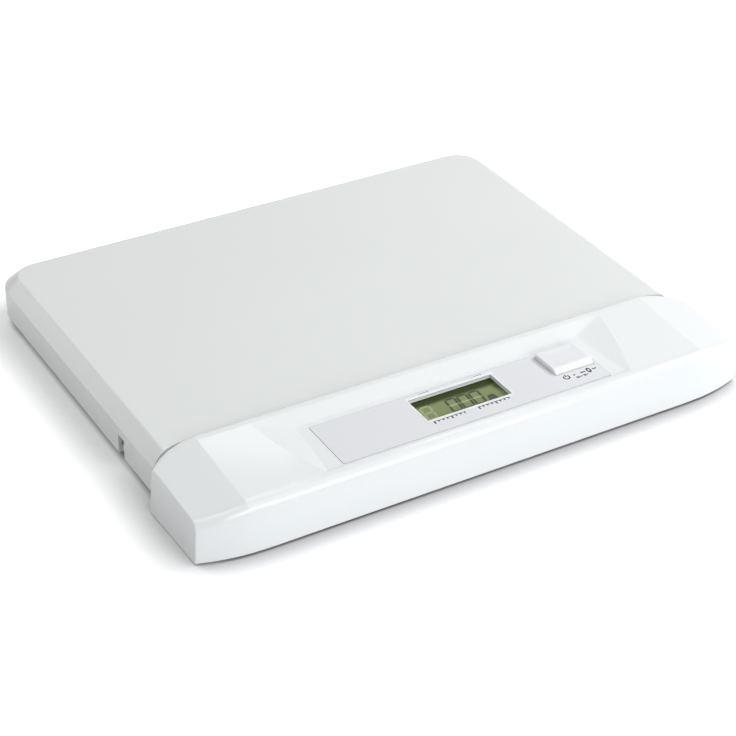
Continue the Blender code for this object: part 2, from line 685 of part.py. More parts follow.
# Sub-parts that stand on the floor
def base_tray():
    low, high = (-TRAY_HALF, TRAY_FRONT_Y), (TRAY_HALF, TRAY_BACK_Y)
    tray = new_part("base_tray", shape(lambda bm: add_rounded_box(
        bm, (*low, BASE_Z), (*high, FLOOR_Z + TRAY_RIM), TRAY_CORNER_RADIUS)), tray_white)
    inner_low = (low[0] + TRAY_RIM_WALL, low[1] + TRAY_RIM_WALL, FLOOR_Z)
    inner_high = (high[0] - TRAY_RIM_WALL, high[1] - TRAY_RIM_WALL, FLOOR_Z + TRAY_RIM + OVERRUN)
    cut(tray, lambda bm: add_rounded_box(bm, inner_low, inner_high, TRAY_CORNER_RADIUS - TRAY_RIM_WALL))
    sunk_z = FLOOR_Z - TRAY_FLOOR / 2
    rib_x = PLATFORM_HALF / 2
    rib_ys = PLATFORM_FRONT_Y + COVER_WALL + RIB_INSET, TRAY_BACK_Y - RIB_INSET
    cross_y = PLATFORM_MID_Y + FRAME_ARM_LENGTH / 5
    cross_x = ARM_MID_X + FRAME_ARM_WIDTH

    def raised(bm):
        for x, y in housing_screw_places():
            add_cylinder(bm, x, y, sunk_z, HOUSING_BOSS_Z, HOUSING_BOSS_RADIUS)
        for x, y in arm_places(STOP_SPACING):
            add_cylinder(bm, x, y, sunk_z, STOP_BOSS_Z, STOP_RADIUS + BOSS_WALL)
        add_box(bm, (-CELL_LENGTH / 2, PLATFORM_MID_Y - PEDESTAL_WIDTH / 2, sunk_z),
                (-CELL_LENGTH / 2 + PEDESTAL_LENGTH, PLATFORM_MID_Y + PEDESTAL_WIDTH / 2, PEDESTAL_Z))
        add_box(bm, (BAY_MID_X - BAY_HALF_X - BAY_WALL, BAY_FRONT_Y - BAY_WALL, sunk_z),
                (BAY_MID_X + BAY_HALF_X + BAY_WALL, BAY_BACK_Y + BAY_WALL, BAY_TOP_Z))

    def cross_rib(bm):
        add_box(bm, (-cross_x, cross_y, sunk_z), (cross_x, cross_y + RIB_WIDTH, FLOOR_Z + CROSS_RIB_HEIGHT))

    def long_ribs(bm):
        for x in (-rib_x, rib_x):
            add_box(bm, (x - RIB_WIDTH / 2, rib_ys[0], sunk_z),
                    (x + RIB_WIDTH / 2, rib_ys[1], FLOOR_Z + RIB_HEIGHT))

    def bores(bm):
        for x, y in housing_screw_places():
            add_cylinder(bm, x, y, sunk_z, HOUSING_BOSS_Z + OVERRUN, M3_RADIUS + SEAT_GAP)
        for x, y in arm_places(STOP_SPACING):
            add_cylinder(bm, x, y, FLOOR_Z, STOP_BOSS_Z + OVERRUN, M3_RADIUS + SEAT_GAP)
        for x in cell_screw_xs(-1):
            add_cylinder(bm, x, PLATFORM_MID_Y, sunk_z, PEDESTAL_Z + OVERRUN, M4_RADIUS + SEAT_GAP)

    def pockets(bm):
        for x, y in housing_screw_places():
            add_cylinder(bm, x, y, BASE_Z - OVERRUN, M3_SEAT_Z + SEAT_GAP, HEAD_RADIUS_M3 + SEAT_GAP)
        for x in cell_screw_xs(-1):
            add_cylinder(bm, x, PLATFORM_MID_Y, BASE_Z - OVERRUN, M4_SEAT_Z + SEAT_GAP,
                         HEAD_RADIUS_M4 + SEAT_GAP)
        for x, y in foot_places().values():
            add_cylinder(bm, x, y, BASE_Z - OVERRUN, BASE_Z + FOOT_POCKET, FOOT_RADIUS + SEAT_GAP,
                         sides=2 * ROUND_SIDES)
        add_box(bm, (BAY_MID_X - BAY_HALF_X, BAY_FRONT_Y, BASE_Z - OVERRUN),
                (BAY_MID_X + BAY_HALF_X, BAY_BACK_Y, BAY_ROOF_Z))

    def slots(bm):
        for x in hook_xs():
            half = HOOK_WIDTH / 2 + DOOR_GAP
            add_box(bm, (x - half, BAY_BACK_Y - OVERRUN, HOOK_Z - SEAT_GAP),
                    (x + half, BAY_BACK_Y + BAY_WALL + OVERRUN, FLOOR_Z + HOOK_SWING_ROOM))
        for number in (0, BATTERY_COUNT - 1):
            x, half = battery_x(number), TAB_WIDTH / 2 + SEAT_GAP
            add_box(bm, (x - half, BAY_BACK_Y - CONTACT_SHEET - 2 * SEAT_GAP, BAY_ROOF_Z - BAY_WALL / 2),
                    (x + half, BAY_BACK_Y + SEAT_GAP, BAY_TOP_Z + OVERRUN))

    join(tray, raised, cross_rib, long_ribs)
    cut(tray, bores, pockets, slots)
    smooth(tray.data)


def front_housing():
    bm = bmesh.new()
    stations, step_in = housing_stations()
    grid = [[bm.verts.new(point) for point in station_row(block, share, step_in)]
            for block, share in stations]
    for near, far in zip(grid, grid[1:]):
        for i in range(len(near) - 1):
            bm.faces.new((near[i], near[i + 1], far[i + 1], far[i]))
    bm.faces.new(reversed(grid[-1]))
    housing = new_part("front_housing", mesh_from("front_housing", bm), housing_white)
    mirror = housing.modifiers.new("other half", "MIRROR")
    mirror.use_axis = (True, False, False)
    mirror.merge_threshold = 0.00001
    wall = housing.modifiers.new("wall", "SOLIDIFY")
    wall.thickness = HOUSING_WALL
    wall.offset = -1.0
    wall.use_even_offset = True
    apply_modifiers(housing)
    for vert in housing.data.vertices:
        vert.co.z = max(vert.co.z, BASE_Z)

    def bosses(bm):
        for x, y in housing_screw_places():
            add_cylinder(bm, x, y, HOUSING_BOSS_Z + SEAT_GAP, top_height(x, y) - HOUSING_WALL / 2,
                         HOUSING_BOSS_RADIUS)
        for x, y in board_screw_places():
            add_cylinder(bm, x, y, BOARD_TOP_Z + SEAT_GAP, PANEL_Z - HOUSING_WALL / 2, BOARD_BOSS_RADIUS)

    def label_pocket(bm):
        half = LABEL_WIDTH / 2 + SEAT_GAP
        add_rounded_box(bm, (-half, LABEL_FRONT_Y - SEAT_GAP, PANEL_Z - LABEL_POCKET),
                        (half, LABEL_BACK_Y + SEAT_GAP, PANEL_Z + OVERRUN), LABEL_CORNER_RADIUS, 3)

    def bores(bm):
        for x, y in housing_screw_places():
            add_cylinder(bm, x, y, HOUSING_BOSS_Z - OVERRUN, HOUSING_BOSS_Z + BORE_REACH,
                         M3_RADIUS + SEAT_GAP)
        for x, y in board_screw_places():
            add_cylinder(bm, x, y, BOARD_TOP_Z - OVERRUN, BOARD_TOP_Z + BORE_REACH,
                         BOARD_SCREW_RADIUS + SEAT_GAP)

    join(housing, bosses)
    cut(housing, label_pocket, bores,
        lambda bm: window_cut(bm, PANEL_UNDER_Z), lambda bm: key_cut(bm, PANEL_UNDER_Z))
    smooth(housing.data)


def window_cut(bm, low_z):
    add_box(bm, (-WINDOW_WIDTH / 2, WINDOW_MID_Y - WINDOW_DEPTH / 2, low_z - OVERRUN),
            (WINDOW_WIDTH / 2, WINDOW_MID_Y + WINDOW_DEPTH / 2, PANEL_Z + OVERRUN))


def key_cut(bm, low_z):
    half_x, half_y = KEY_WIDTH / 2 + KEY_CLEARANCE, KEY_DEPTH / 2 + KEY_CLEARANCE
    add_box(bm, (KEY_OFFSET - half_x, KEY_MID_Y - half_y, low_z - OVERRUN),
            (KEY_OFFSET + half_x, KEY_MID_Y + half_y, PANEL_Z + OVERRUN))


def control_label():
    low_z = PANEL_Z - LABEL_POCKET + SEAT_GAP
    label = new_part("control_label", shape(lambda bm: add_rounded_box(
        bm, (-LABEL_WIDTH / 2, LABEL_FRONT_Y, low_z),
        (LABEL_WIDTH / 2, LABEL_BACK_Y, low_z + LABEL_THICKNESS), LABEL_CORNER_RADIUS, 3)), label_grey)
    cut(label, lambda bm: window_cut(bm, low_z), lambda bm: key_cut(bm, low_z))


def display():
    new_part("lcd_module", shape(lambda bm: add_box(
        bm, (-LCD_HALF_X, WINDOW_MID_Y - LCD_HALF_Y, LCD_Z),
        (LCD_HALF_X, WINDOW_MID_Y + LCD_HALF_Y, LCD_TOP_Z))), lcd_green)
    strip = shape(lambda bm: add_box(bm, (-WINDOW_WIDTH / 2, -STRIP_WIDTH / 2, 0.0),
                                     (WINDOW_WIDTH / 2, STRIP_WIDTH / 2, STRIP_HEIGHT)))
    for name, side in (("lcd_strip_front", -1), ("lcd_strip_back", 1)):
        y = WINDOW_MID_Y + side * (LCD_HALF_Y - STRIP_WIDTH)
        new_part(name, strip, silicone_grey, (0.0, y, STRIP_Z))
    inner_x, inner_y = LCD_HALF_X + SEAT_GAP, LCD_HALF_Y + SEAT_GAP
    outer_x, outer_y = inner_x + FRAME_RING, inner_y + FRAME_RING
    frame = new_part("lcd_frame", shape(lambda bm: add_box(
        bm, (-outer_x, WINDOW_MID_Y - outer_y, BOARD_TOP_Z + SEAT_GAP),
        (outer_x, WINDOW_MID_Y + outer_y, PANEL_UNDER_Z - SEAT_GAP))), tray_white)
    cut(frame, lambda bm: add_box(bm, (-inner_x, WINDOW_MID_Y - inner_y, BOARD_TOP_Z - OVERRUN),
                                  (inner_x, WINDOW_MID_Y + inner_y, PANEL_UNDER_Z + OVERRUN)))


def circuit_board():
    front, back = WINDOW_MID_Y - BOARD_DEPTH / 2, WINDOW_MID_Y + BOARD_DEPTH / 2
    board = new_part("circuit_board", shape(lambda bm: add_box(
        bm, (-BOARD_LEFT, front, BOARD_Z), (BOARD_RIGHT, back, BOARD_TOP_Z))), board_green)

    def holes(bm):
        for x, y in board_screw_places():
            add_cylinder(bm, x, y, BOARD_Z - OVERRUN, BOARD_TOP_Z + OVERRUN,
                         BOARD_SCREW_RADIUS + SEAT_GAP, sides=SCREW_SIDES)

    cut(board, holes)
    under = BOARD_Z - SEAT_GAP
    new_part("controller_chip", shape(lambda bm: add_box(
        bm, (-CHIP_SIDE / 2, WINDOW_MID_Y - CHIP_SIDE / 2, under - CHIP_HEIGHT),
        (CHIP_SIDE / 2, WINDOW_MID_Y + CHIP_SIDE / 2, under))), chip_black)
    new_part("cable_socket", shape(lambda bm: add_box(
        bm, (SOCKET_OFFSET - SOCKET_WIDTH / 2, SOCKET_Y - SOCKET_DEPTH / 2, under - SOCKET_HEIGHT),
        (SOCKET_OFFSET + SOCKET_WIDTH / 2, SOCKET_Y + SOCKET_DEPTH / 2, under))), tray_white)
    screw = screw_mesh(BOARD_HEAD_RADIUS, BOARD_HEAD_HEIGHT, BOARD_SCREW_RADIUS,
                       BOARD_THICKNESS + SEAT_GAP + BOARD_SCREW_REACH)
    for number, (x, y) in enumerate(board_screw_places(), 1):
        turned_over = new_part(f"board_screw_{number}", screw, zinc_steel, (x, y, under))
        turned_over.rotation_euler = (math.pi, 0.0, 0.0)


def key_dome():
    """Silicone dome on the board, under the post of the key."""
    foot_z, top_z = BOARD_TOP_Z + SEAT_GAP, KEY_FOOT_Z - SEAT_GAP
    height = top_z - foot_z
    profile = [(0.0, height), (DOME_TIP_RADIUS, height), (DOME_TIP_RADIUS, height * 2 / 3),
               (DOME_SHOULDER_RADIUS, DOME_SHEET), (DOME_RADIUS, DOME_SHEET), (DOME_RADIUS, 0.0),
               (0.0, 0.0)]
    new_part("key_dome", turned_mesh(profile, ROUND_SIDES), silicone_grey, (KEY_OFFSET, KEY_MID_Y, foot_z))


def batteries():
    bm = bmesh.new()
    add_bar(bm, (0.0, 0.0, 0.0), BATTERY_DIAMETER / 2, BATTERY_BODY, "Y", 20)
    body = mesh_from("battery", bm)
    for number in range(BATTERY_COUNT):
        cell = new_part(f"battery_{number + 1}", body.copy(), battery_sleeve,
                        (battery_x(number), battery_mid_y(number), BATTERY_Z))
        cell.rotation_euler = (0.0, 0.0, 0.0 if battery_way(number) > 0 else math.pi)
        nub_end = BATTERY_BODY / 2 + BATTERY_NUB
        place = cell.matrix_basis
        join(cell, lambda bm: (add_bar(bm, (0.0, nub_end / 2, 0.0), BATTERY_NUB_RADIUS, nub_end, "Y", 12),
                               bm.transform(place)))
        smooth(cell.data)
    bpy.data.meshes.remove(body)


def coil_mesh(x, way):
    """A tapered coil from a contact plate to the flat end of its cell."""
    wall_y = BAY_FRONT_Y if way > 0 else BAY_BACK_Y
    start = SEAT_GAP + CONTACT_SHEET + SPRING_WIRE / 4
    end = SEAT_GAP + CONTACT_SHEET + SPRING_ROOM - SEAT_GAP - SPRING_WIRE / 2
    per_turn = 9
    count = SPRING_TURNS * per_turn
    points = []
    for i in range(count + 1):
        share = i / count
        radius = SPRING_FOOT_RADIUS + (SPRING_TIP_RADIUS - SPRING_FOOT_RADIUS) * share
        angle = math.tau * i / per_turn
        points.append(Vector((x + radius * math.cos(angle), wall_y + way * (start + (end - start) * share),
                              BATTERY_Z + radius * math.sin(angle))))
    gap = min((a - b).length for i, a in enumerate(points) for b in points[i + per_turn // 2 + 1:])
    print(f"coil at x {x * 1000:.1f} mm: least gap between turns {(gap - SPRING_WIRE) * 1000:.2f} mm")
    return tube_mesh(points, SPRING_WIRE, 1)


def battery_contacts():
    """Plates that link the cells in series, pressed from sheet, with the coils on them."""
    groups = {}
    for number in range(BATTERY_COUNT):
        groups.setdefault((1, (number + 1) // 2), []).append(number)
        groups.setdefault((-1, number // 2), []).append(number)
    for index, ((side, _), numbers) in enumerate(sorted(groups.items()), 1):
        wall_y = BAY_BACK_Y if side > 0 else BAY_FRONT_Y
        ys = sorted((wall_y - side * SEAT_GAP, wall_y - side * (SEAT_GAP + CONTACT_SHEET)))
        first, last = battery_x(numbers[0]), battery_x(numbers[-1])
        plate = new_part(f"battery_contact_{index}", shape(lambda bm: add_box(
            bm, (first - CONTACT_WIDTH / 2, ys[0], BATTERY_Z - CONTACT_DROP),
            (last + CONTACT_WIDTH / 2, ys[1], BATTERY_Z + CONTACT_RISE))), nickel)
        tools = []
        for number in numbers:
            x = battery_x(number)
            if battery_way(number) == side:
                tools.append(lambda bm, x=x: add_bar(
                    bm, (x, wall_y - side * (SEAT_GAP + (CONTACT_SHEET + CONTACT_BUMP) / 2), BATTERY_Z),
                    BATTERY_NUB_RADIUS, CONTACT_SHEET + CONTACT_BUMP - SEAT_GAP / 10, "Y", SCREW_SIDES))
            else:
                tools.append(lambda bm, x=x: bm.from_mesh(coil_mesh(x, -side)))
        if len(numbers) == 1 and side > 0:
            tools.append(lambda bm: add_box(
                bm, (first - TAB_WIDTH / 2, ys[0], BATTERY_Z), (first + TAB_WIDTH / 2, ys[1], TAB_TOP_Z)))
        join(plate, *tools)
        smooth(plate.data)


def battery_door(hinge):
    half, front = BAY_HALF_X - DOOR_GAP, BAY_FRONT_Y + DOOR_GAP
    middle_z = BASE_Z + DOOR_PLATE / 2
    door = new_part("battery_door", shape(lambda bm: add_box(
        bm, (BAY_MID_X - half, front, BASE_Z), (BAY_MID_X + half, HINGE_Y, DOOR_TOP_Z))), tray_white,
        joint=hinge)

    def ribs(bm):
        for side in (-1, 1):
            y = BAY_MID_Y + side * BAY_DEPTH / 4
            add_box(bm, (BAY_MID_X - half + DOOR_RIB_WIDTH, y - DOOR_RIB_WIDTH / 2, middle_z),
                    (BAY_MID_X + half - DOOR_RIB_WIDTH, y + DOOR_RIB_WIDTH / 2, DOOR_TOP_Z + DOOR_RIB))

    def hook_posts(bm):
        for x in hook_xs():
            add_box(bm, (x - HOOK_WIDTH / 2, HINGE_Y - HOOK_THICKNESS, middle_z),
                    (x + HOOK_WIDTH / 2, HINGE_Y, HOOK_Z + HOOK_THICKNESS))

    def hooks(bm):
        for x in hook_xs():
            add_box(bm, (x - HOOK_WIDTH / 2, HINGE_Y - HOOK_THICKNESS / 2, HOOK_Z),
                    (x + HOOK_WIDTH / 2, HINGE_Y + HOOK_LENGTH, HOOK_Z + HOOK_THICKNESS))

    def grip(bm):
        add_bar(bm, (BAY_MID_X, BAY_FRONT_Y + GRIP_INSET, BASE_Z + GRIP_DEPTH - GRIP_RADIUS), GRIP_RADIUS,
                GRIP_WIDTH, "X")

    join(door, ribs, hook_posts, hooks)
    cut(door, grip)
    smooth(door.data)


def feet():
    height = BASE_Z + FOOT_POCKET - SEAT_GAP
    profile = [(0.0, height), (FOOT_RADIUS, height), (FOOT_RADIUS, height / 2),
               (FOOT_RADIUS - FOOT_TAPER, 0.0), (0.0, 0.0)]
    pad = turned_mesh(profile, 2 * ROUND_SIDES)
    for name, (x, y) in foot_places().items():
        new_part(name, pad, foot_rubber, (x, y, 0.0))


def housing_screws():
    screw = screw_mesh(HEAD_RADIUS_M3, HEAD_HEIGHT_M3, M3_RADIUS, HOUSING_BOSS_Z + SCREW_REACH - M3_SEAT_Z)
    for number, (x, y) in enumerate(housing_screw_places(), 1):
        part = new_part(f"housing_screw_{number}", screw, zinc_steel, (x, y, M3_SEAT_Z))
        part.rotation_euler = (math.pi, 0.0, 0.0)


def load_cell():
    half = CELL_LENGTH / 2
    front, back = PLATFORM_MID_Y - CELL_SECTION / 2, PLATFORM_MID_Y + CELL_SECTION / 2
    mid_z = CELL_Z + CELL_SECTION / 2
    bar = new_part("load_cell", shape(lambda bm: add_box(
        bm, (-half, front, CELL_Z), (half, back, CELL_TOP_Z))), aluminium)

    def window_ends(bm):
        for side in (-1, 1):
            add_bar(bm, (side * CELL_WINDOW_HALF, PLATFORM_MID_Y, mid_z), CELL_WINDOW_RADIUS,
                    CELL_SECTION + 2 * OVERRUN, "Y", 20)

    def window_slot(bm):
        add_box(bm, (-CELL_WINDOW_HALF, front - OVERRUN, mid_z - CELL_SLOT / 2),
                (CELL_WINDOW_HALF, back + OVERRUN, mid_z + CELL_SLOT / 2))

    def threads(bm):
        for x in cell_screw_xs(-1) + cell_screw_xs(1):
            add_cylinder(bm, x, PLATFORM_MID_Y, CELL_Z - OVERRUN, CELL_TOP_Z + OVERRUN,
                         M4_RADIUS + SEAT_GAP)

    cut(bar, window_ends, window_slot, threads)
    smooth(bar.data)
    seal_back = front - SEAT_GAP
    new_part("gauge_seal", shape(lambda bm: add_box(
        bm, (-SEAL_HALF_LENGTH, seal_back - SEAL_THICKNESS, mid_z - SEAL_HEIGHT / 2),
        (SEAL_HALF_LENGTH, seal_back, mid_z + SEAL_HEIGHT / 2))), gauge_white)
    bored_block("load_cell_shim", -1, SHIM_Z, SHIM_Z + SHIM_THICKNESS)
    screw = screw_mesh(HEAD_RADIUS_M4, HEAD_HEIGHT_M4, M4_RADIUS, CELL_Z + CELL_SCREW_DEPTH - M4_SEAT_Z)
    for number, x in enumerate(cell_screw_xs(-1), 1):
        part = new_part(f"load_cell_screw_{number}", screw, zinc_steel, (x, PLATFORM_MID_Y, M4_SEAT_Z))
        part.rotation_euler = (math.pi, 0.0, 0.0)


def bored_block(name, side, low_z, high_z, joint=None):
    """A block over one end of the load cell, with its two screw holes."""
    xs = sorted((side * CELL_LENGTH / 2, side * (CELL_LENGTH / 2 - PEDESTAL_LENGTH)))
    front, back = PLATFORM_MID_Y - CELL_SECTION / 2, PLATFORM_MID_Y + CELL_SECTION / 2
    block = new_part(name, shape(lambda bm: add_box(bm, (xs[0], front, low_z), (xs[1], back, high_z))),
                     zinc_steel, joint=joint)

    def holes(bm):
        for x in cell_screw_xs(side):
            add_cylinder(bm, x, PLATFORM_MID_Y, low_z - OVERRUN, high_z + OVERRUN, M4_RADIUS + SEAT_GAP)

    cut(block, holes)
    smooth(block.data)


def overload_stops():
    height = FRAME_Z - STOP_CLEARANCE - STOP_BOSS_Z - SEAT_GAP
    thread = STOP_BOSS_HEIGHT - SEAT_GAP
    for number, (x, y) in enumerate(arm_places(STOP_SPACING), 1):
        seat = STOP_BOSS_Z + SEAT_GAP
        post = new_part(f"overload_stop_{number}", shape(lambda bm: add_cylinder(
            bm, x, y, seat, seat + height, STOP_RADIUS, sides=6)), brass)
        join(post, lambda bm: add_cylinder(bm, x, y, seat - thread, seat + STOP_RADIUS, M3_RADIUS,
                                           sides=SCREW_SIDES))
        smooth(post.data)


def wiring():
    cable_y = PLATFORM_MID_Y - CELL_SECTION / 2 - SEAT_GAP - CABLE_DIAMETER / 2
    start = Vector((-SEAL_HALF_LENGTH - SEAT_GAP, cable_y, CELL_Z + CELL_SECTION / 2))
    straight = Vector((CABLE_DIAMETER, 0.0, 0.0))
    end = Vector((SOCKET_OFFSET, SOCKET_Y, BOARD_Z - 2 * SEAT_GAP - SOCKET_HEIGHT))
    rise = Vector((0.0, 0.0, CABLE_DIAMETER))
    places = [start, start - straight / 2, start - straight, *CABLE_ROUTE, end - 2 * rise, end - rise, end]
    new_part("load_cell_cable", tube_mesh(smooth_route(places, 3), CABLE_DIAMETER, 2), cable_grey)
    tab_y = BAY_BACK_Y - SEAT_GAP - CONTACT_SHEET / 2
    rise = Vector((0.0, 0.0, LEAD_DIAMETER))
    leads = {"battery_lead_1": (0, LONG_LEAD_ROUTE, lead_red),
             "battery_lead_2": (BATTERY_COUNT - 1, SHORT_LEAD_ROUTE, lead_black)}
    for name, (number, route, material) in leads.items():
        start = Vector((battery_x(number), tab_y, TAB_TOP_Z + SEAT_GAP))
        end = Vector((-BOARD_LEFT + BOARD_SCREW_INSET, route[-1][1], BOARD_TOP_Z + SEAT_GAP))
        places = [start, start + rise / 2, start + rise, *route, end + rise, end + rise / 2, end]
        new_part(name, tube_mesh(smooth_route(places, 3), LEAD_DIAMETER, 1), material)


# Sub-parts that move with the platform
def cover_ring(inset, z, front_inset=0.0):
    """Outline of the cover at one level, from the front's middle round the right side."""
    half, back = PLATFORM_HALF - inset, BACK_Y - inset
    radius = max(COVER_CORNER_RADIUS - inset, COVER_WALL)
    right = [(half * share, PLATFORM_FRONT_Y + front_inset - back_sweep(half * share - SEAM_GAP))
             for share in COVER_FRONT_SHARES]
    for i in range(CORNER_STEPS + 1):
        angle = i / CORNER_STEPS * math.pi / 2
        right.append((half - radius + radius * math.cos(angle), back - radius + radius * math.sin(angle)))
    return [(x, y, z) for x, y in right] + [(-x, y, z) for x, y in reversed(right)]


def platform_cover(slide):
    """A loft down the inside, round the foot of the skirt and up the outside to the top."""
    rings = [cover_ring(BEVEL_WIDTH + COVER_WALL / 3, COVER_UNDER_Z, COVER_WALL),
             cover_ring(COVER_WALL, BEVEL_FOOT_Z - COVER_WALL / 2, COVER_WALL),
             cover_ring(COVER_WALL, SKIRT_Z, COVER_WALL),
             cover_ring(0.0, SKIRT_Z), cover_ring(0.0, BEVEL_FOOT_Z)]
    for share_in, share_up in BEVEL_SHARES:
        rings.append(cover_ring(BEVEL_WIDTH * share_in, BEVEL_FOOT_Z + BEVEL_DROP * share_up))
    bm = bmesh.new()
    loops = [[bm.verts.new(point) for point in ring] for ring in rings]
    for low, high in zip(loops, loops[1:]):
        for i in range(len(low)):
            bm.faces.new((low[i - 1], low[i], high[i], high[i - 1]))
    bm.faces.new(loops[-1])
    bm.faces.new(reversed(loops[0]))
    cover = new_part("platform_cover", mesh_from("platform_cover", bm), platform_white, joint=slide)

    def bosses(bm):
        for x, y in arm_places(COVER_SCREW_SPACING):
            add_cylinder(bm, x, y, COVER_BOSS_Z, PLATFORM_TOP_Z - COVER_WALL / 2, M4_RADIUS + BOSS_WALL)

    def notches(bm):
        y = PLATFORM_FRONT_Y + NOTCH_SETBACK
        for side in (-1, 1):
            xs = sorted((side * (PLATFORM_HALF + OVERRUN), side * (PLATFORM_HALF - COVER_WALL - OVERRUN)))
            add_box(bm, (xs[0], y - NOTCH_WIDTH / 2, SKIRT_Z - OVERRUN),
                    (xs[1], y + NOTCH_WIDTH / 2, SKIRT_Z + NOTCH_HEIGHT))
        add_box(bm, (-CABLE_NOTCH_OFFSET - CABLE_NOTCH_WIDTH / 2, PLATFORM_FRONT_Y - OVERRUN,
                     SKIRT_Z - OVERRUN),
                (-CABLE_NOTCH_OFFSET + CABLE_NOTCH_WIDTH / 2, PLATFORM_FRONT_Y + COVER_WALL + OVERRUN,
                 SKIRT_Z + CABLE_NOTCH_HEIGHT))

    def bores(bm):
        for x, y in arm_places(COVER_SCREW_SPACING):
            add_cylinder(bm, x, y, COVER_BOSS_Z - OVERRUN, COVER_UNDER_Z + COVER_WALL / 3,
                         M4_RADIUS + SEAT_GAP)

    join(cover, bosses)
    cut(cover, notches, bores)
    smooth(cover.data)


def platform_frame(slide):
    arm_in = FRAME_HALF_LENGTH - FRAME_ARM_WIDTH
    beam, arm = FRAME_BEAM_WIDTH / 2, FRAME_ARM_LENGTH / 2
    frame = new_part("platform_frame", shape(lambda bm: add_box(
        bm, (-arm_in - FRAME_PLATE, PLATFORM_MID_Y - beam, FRAME_Z),
        (arm_in + FRAME_PLATE, PLATFORM_MID_Y + beam, FRAME_TOP_Z))), galvanised, joint=slide)

    def arms(bm):
        for side in (-1, 1):
            xs = sorted((side * arm_in, side * FRAME_HALF_LENGTH))
            add_box(bm, (xs[0], PLATFORM_MID_Y - arm, FRAME_Z), (xs[1], PLATFORM_MID_Y + arm, FRAME_TOP_Z))

    def flanges(bm):
        for side in (-1, 1):
            ys = sorted((PLATFORM_MID_Y + side * beam, PLATFORM_MID_Y + side * (beam - FRAME_PLATE)))
            add_box(bm, (-arm_in + FRAME_PLATE, ys[0], FRAME_Z - FRAME_FLANGE),
                    (arm_in - FRAME_PLATE, ys[1], FRAME_Z + FRAME_PLATE / 2))

    def holes(bm):
        for x, y in arm_places(COVER_SCREW_SPACING) + [(x, PLATFORM_MID_Y) for x in cell_screw_xs(1)]:
            add_cylinder(bm, x, y, FRAME_Z - OVERRUN, FRAME_TOP_Z + OVERRUN, M4_RADIUS + SEAT_GAP)

    join(frame, arms, flanges)
    cut(frame, holes)
    smooth(frame.data)
    bored_block("load_cell_spacer", 1, SPACER_Z, SPACER_TOP_Z, slide)


def platform_fasteners(slide):
    frame_screw = screw_mesh(HEAD_RADIUS_M4, FRAME_HEAD_HEIGHT, M4_RADIUS,
                             COVER_BOSS_Z - CELL_TOP_Z + CELL_SCREW_DEPTH)
    for number, x in enumerate(cell_screw_xs(1), 1):
        new_part(f"frame_screw_{number}", frame_screw, zinc_steel, (x, PLATFORM_MID_Y, COVER_BOSS_Z), slide)
    seat = FRAME_Z - SEAT_GAP
    cover_screw = screw_mesh(HEAD_RADIUS_M4, HEAD_HEIGHT_M4, M4_RADIUS, COVER_UNDER_Z - seat)
    for number, (x, y) in enumerate(arm_places(COVER_SCREW_SPACING), 1):
        part = new_part(f"platform_screw_{number}", cover_screw, zinc_steel, (x, y, seat), slide)
        part.rotation_euler = (math.pi, 0.0, 0.0)


# The key
def tare_key(slide):
    half_x, half_y = KEY_WIDTH / 2, KEY_DEPTH / 2
    bm = bmesh.new()
    add_rounded_box(bm, (KEY_OFFSET - half_x, KEY_MID_Y - half_y, KEY_FOOT_Z),
                    (KEY_OFFSET + half_x, KEY_MID_Y + half_y, KEY_TOP_Z), KEY_EDGE_RADIUS, 2)
    rim = [edge for edge in bm.edges if min(vert.co.z for vert in edge.verts) > KEY_TOP_Z - SEAT_GAP]
    bmesh.ops.bevel(bm, geom=rim, offset=KEY_EDGE_RADIUS, segments=2, profile=0.5, affect="EDGES")
    key = new_part("tare_key", mesh_from("tare_key", bm), housing_white, joint=slide)

    def flange(bm):
        add_box(bm, (KEY_OFFSET - half_x - KEY_FLANGE, KEY_MID_Y - half_y - KEY_FLANGE, KEY_FOOT_Z),
                (KEY_OFFSET + half_x + KEY_FLANGE, KEY_MID_Y + half_y + KEY_FLANGE, KEY_FLANGE_TOP_Z))

    def hollow(bm):
        add_box(bm, (KEY_OFFSET - half_x + KEY_WALL, KEY_MID_Y - half_y + KEY_WALL, KEY_FOOT_Z - OVERRUN),
                (KEY_OFFSET + half_x - KEY_WALL, KEY_MID_Y + half_y - KEY_WALL, KEY_TOP_Z - KEY_WALL))

    def post(bm):
        add_cylinder(bm, KEY_OFFSET, KEY_MID_Y, KEY_FOOT_Z, KEY_TOP_Z - KEY_WALL / 2, DOME_TIP_RADIUS)

    def front_slope(bm):
        front, over = KEY_MID_Y - half_y, KEY_FRONT_RUN * OVERRUN / (KEY_TOP_Z - KEY_STEP_Z)
        for vert in add_box(bm, (KEY_OFFSET - half_x - OVERRUN, front - OVERRUN, KEY_STEP_Z),
                            (KEY_OFFSET + half_x + OVERRUN, front, KEY_TOP_Z + OVERRUN)):
            if vert.co.y > front - OVERRUN / 2 and vert.co.z > KEY_TOP_Z:
                vert.co.y += KEY_FRONT_RUN + over

    join(key, flange)
    cut(key, hollow, front_slope)
    join(key, post)
    smooth(key.data)


for old in list(bpy.data.objects):
    bpy.data.objects.remove(old)

parts = new_collection("baby_weighing_scale")
cutters = new_collection("cutters")

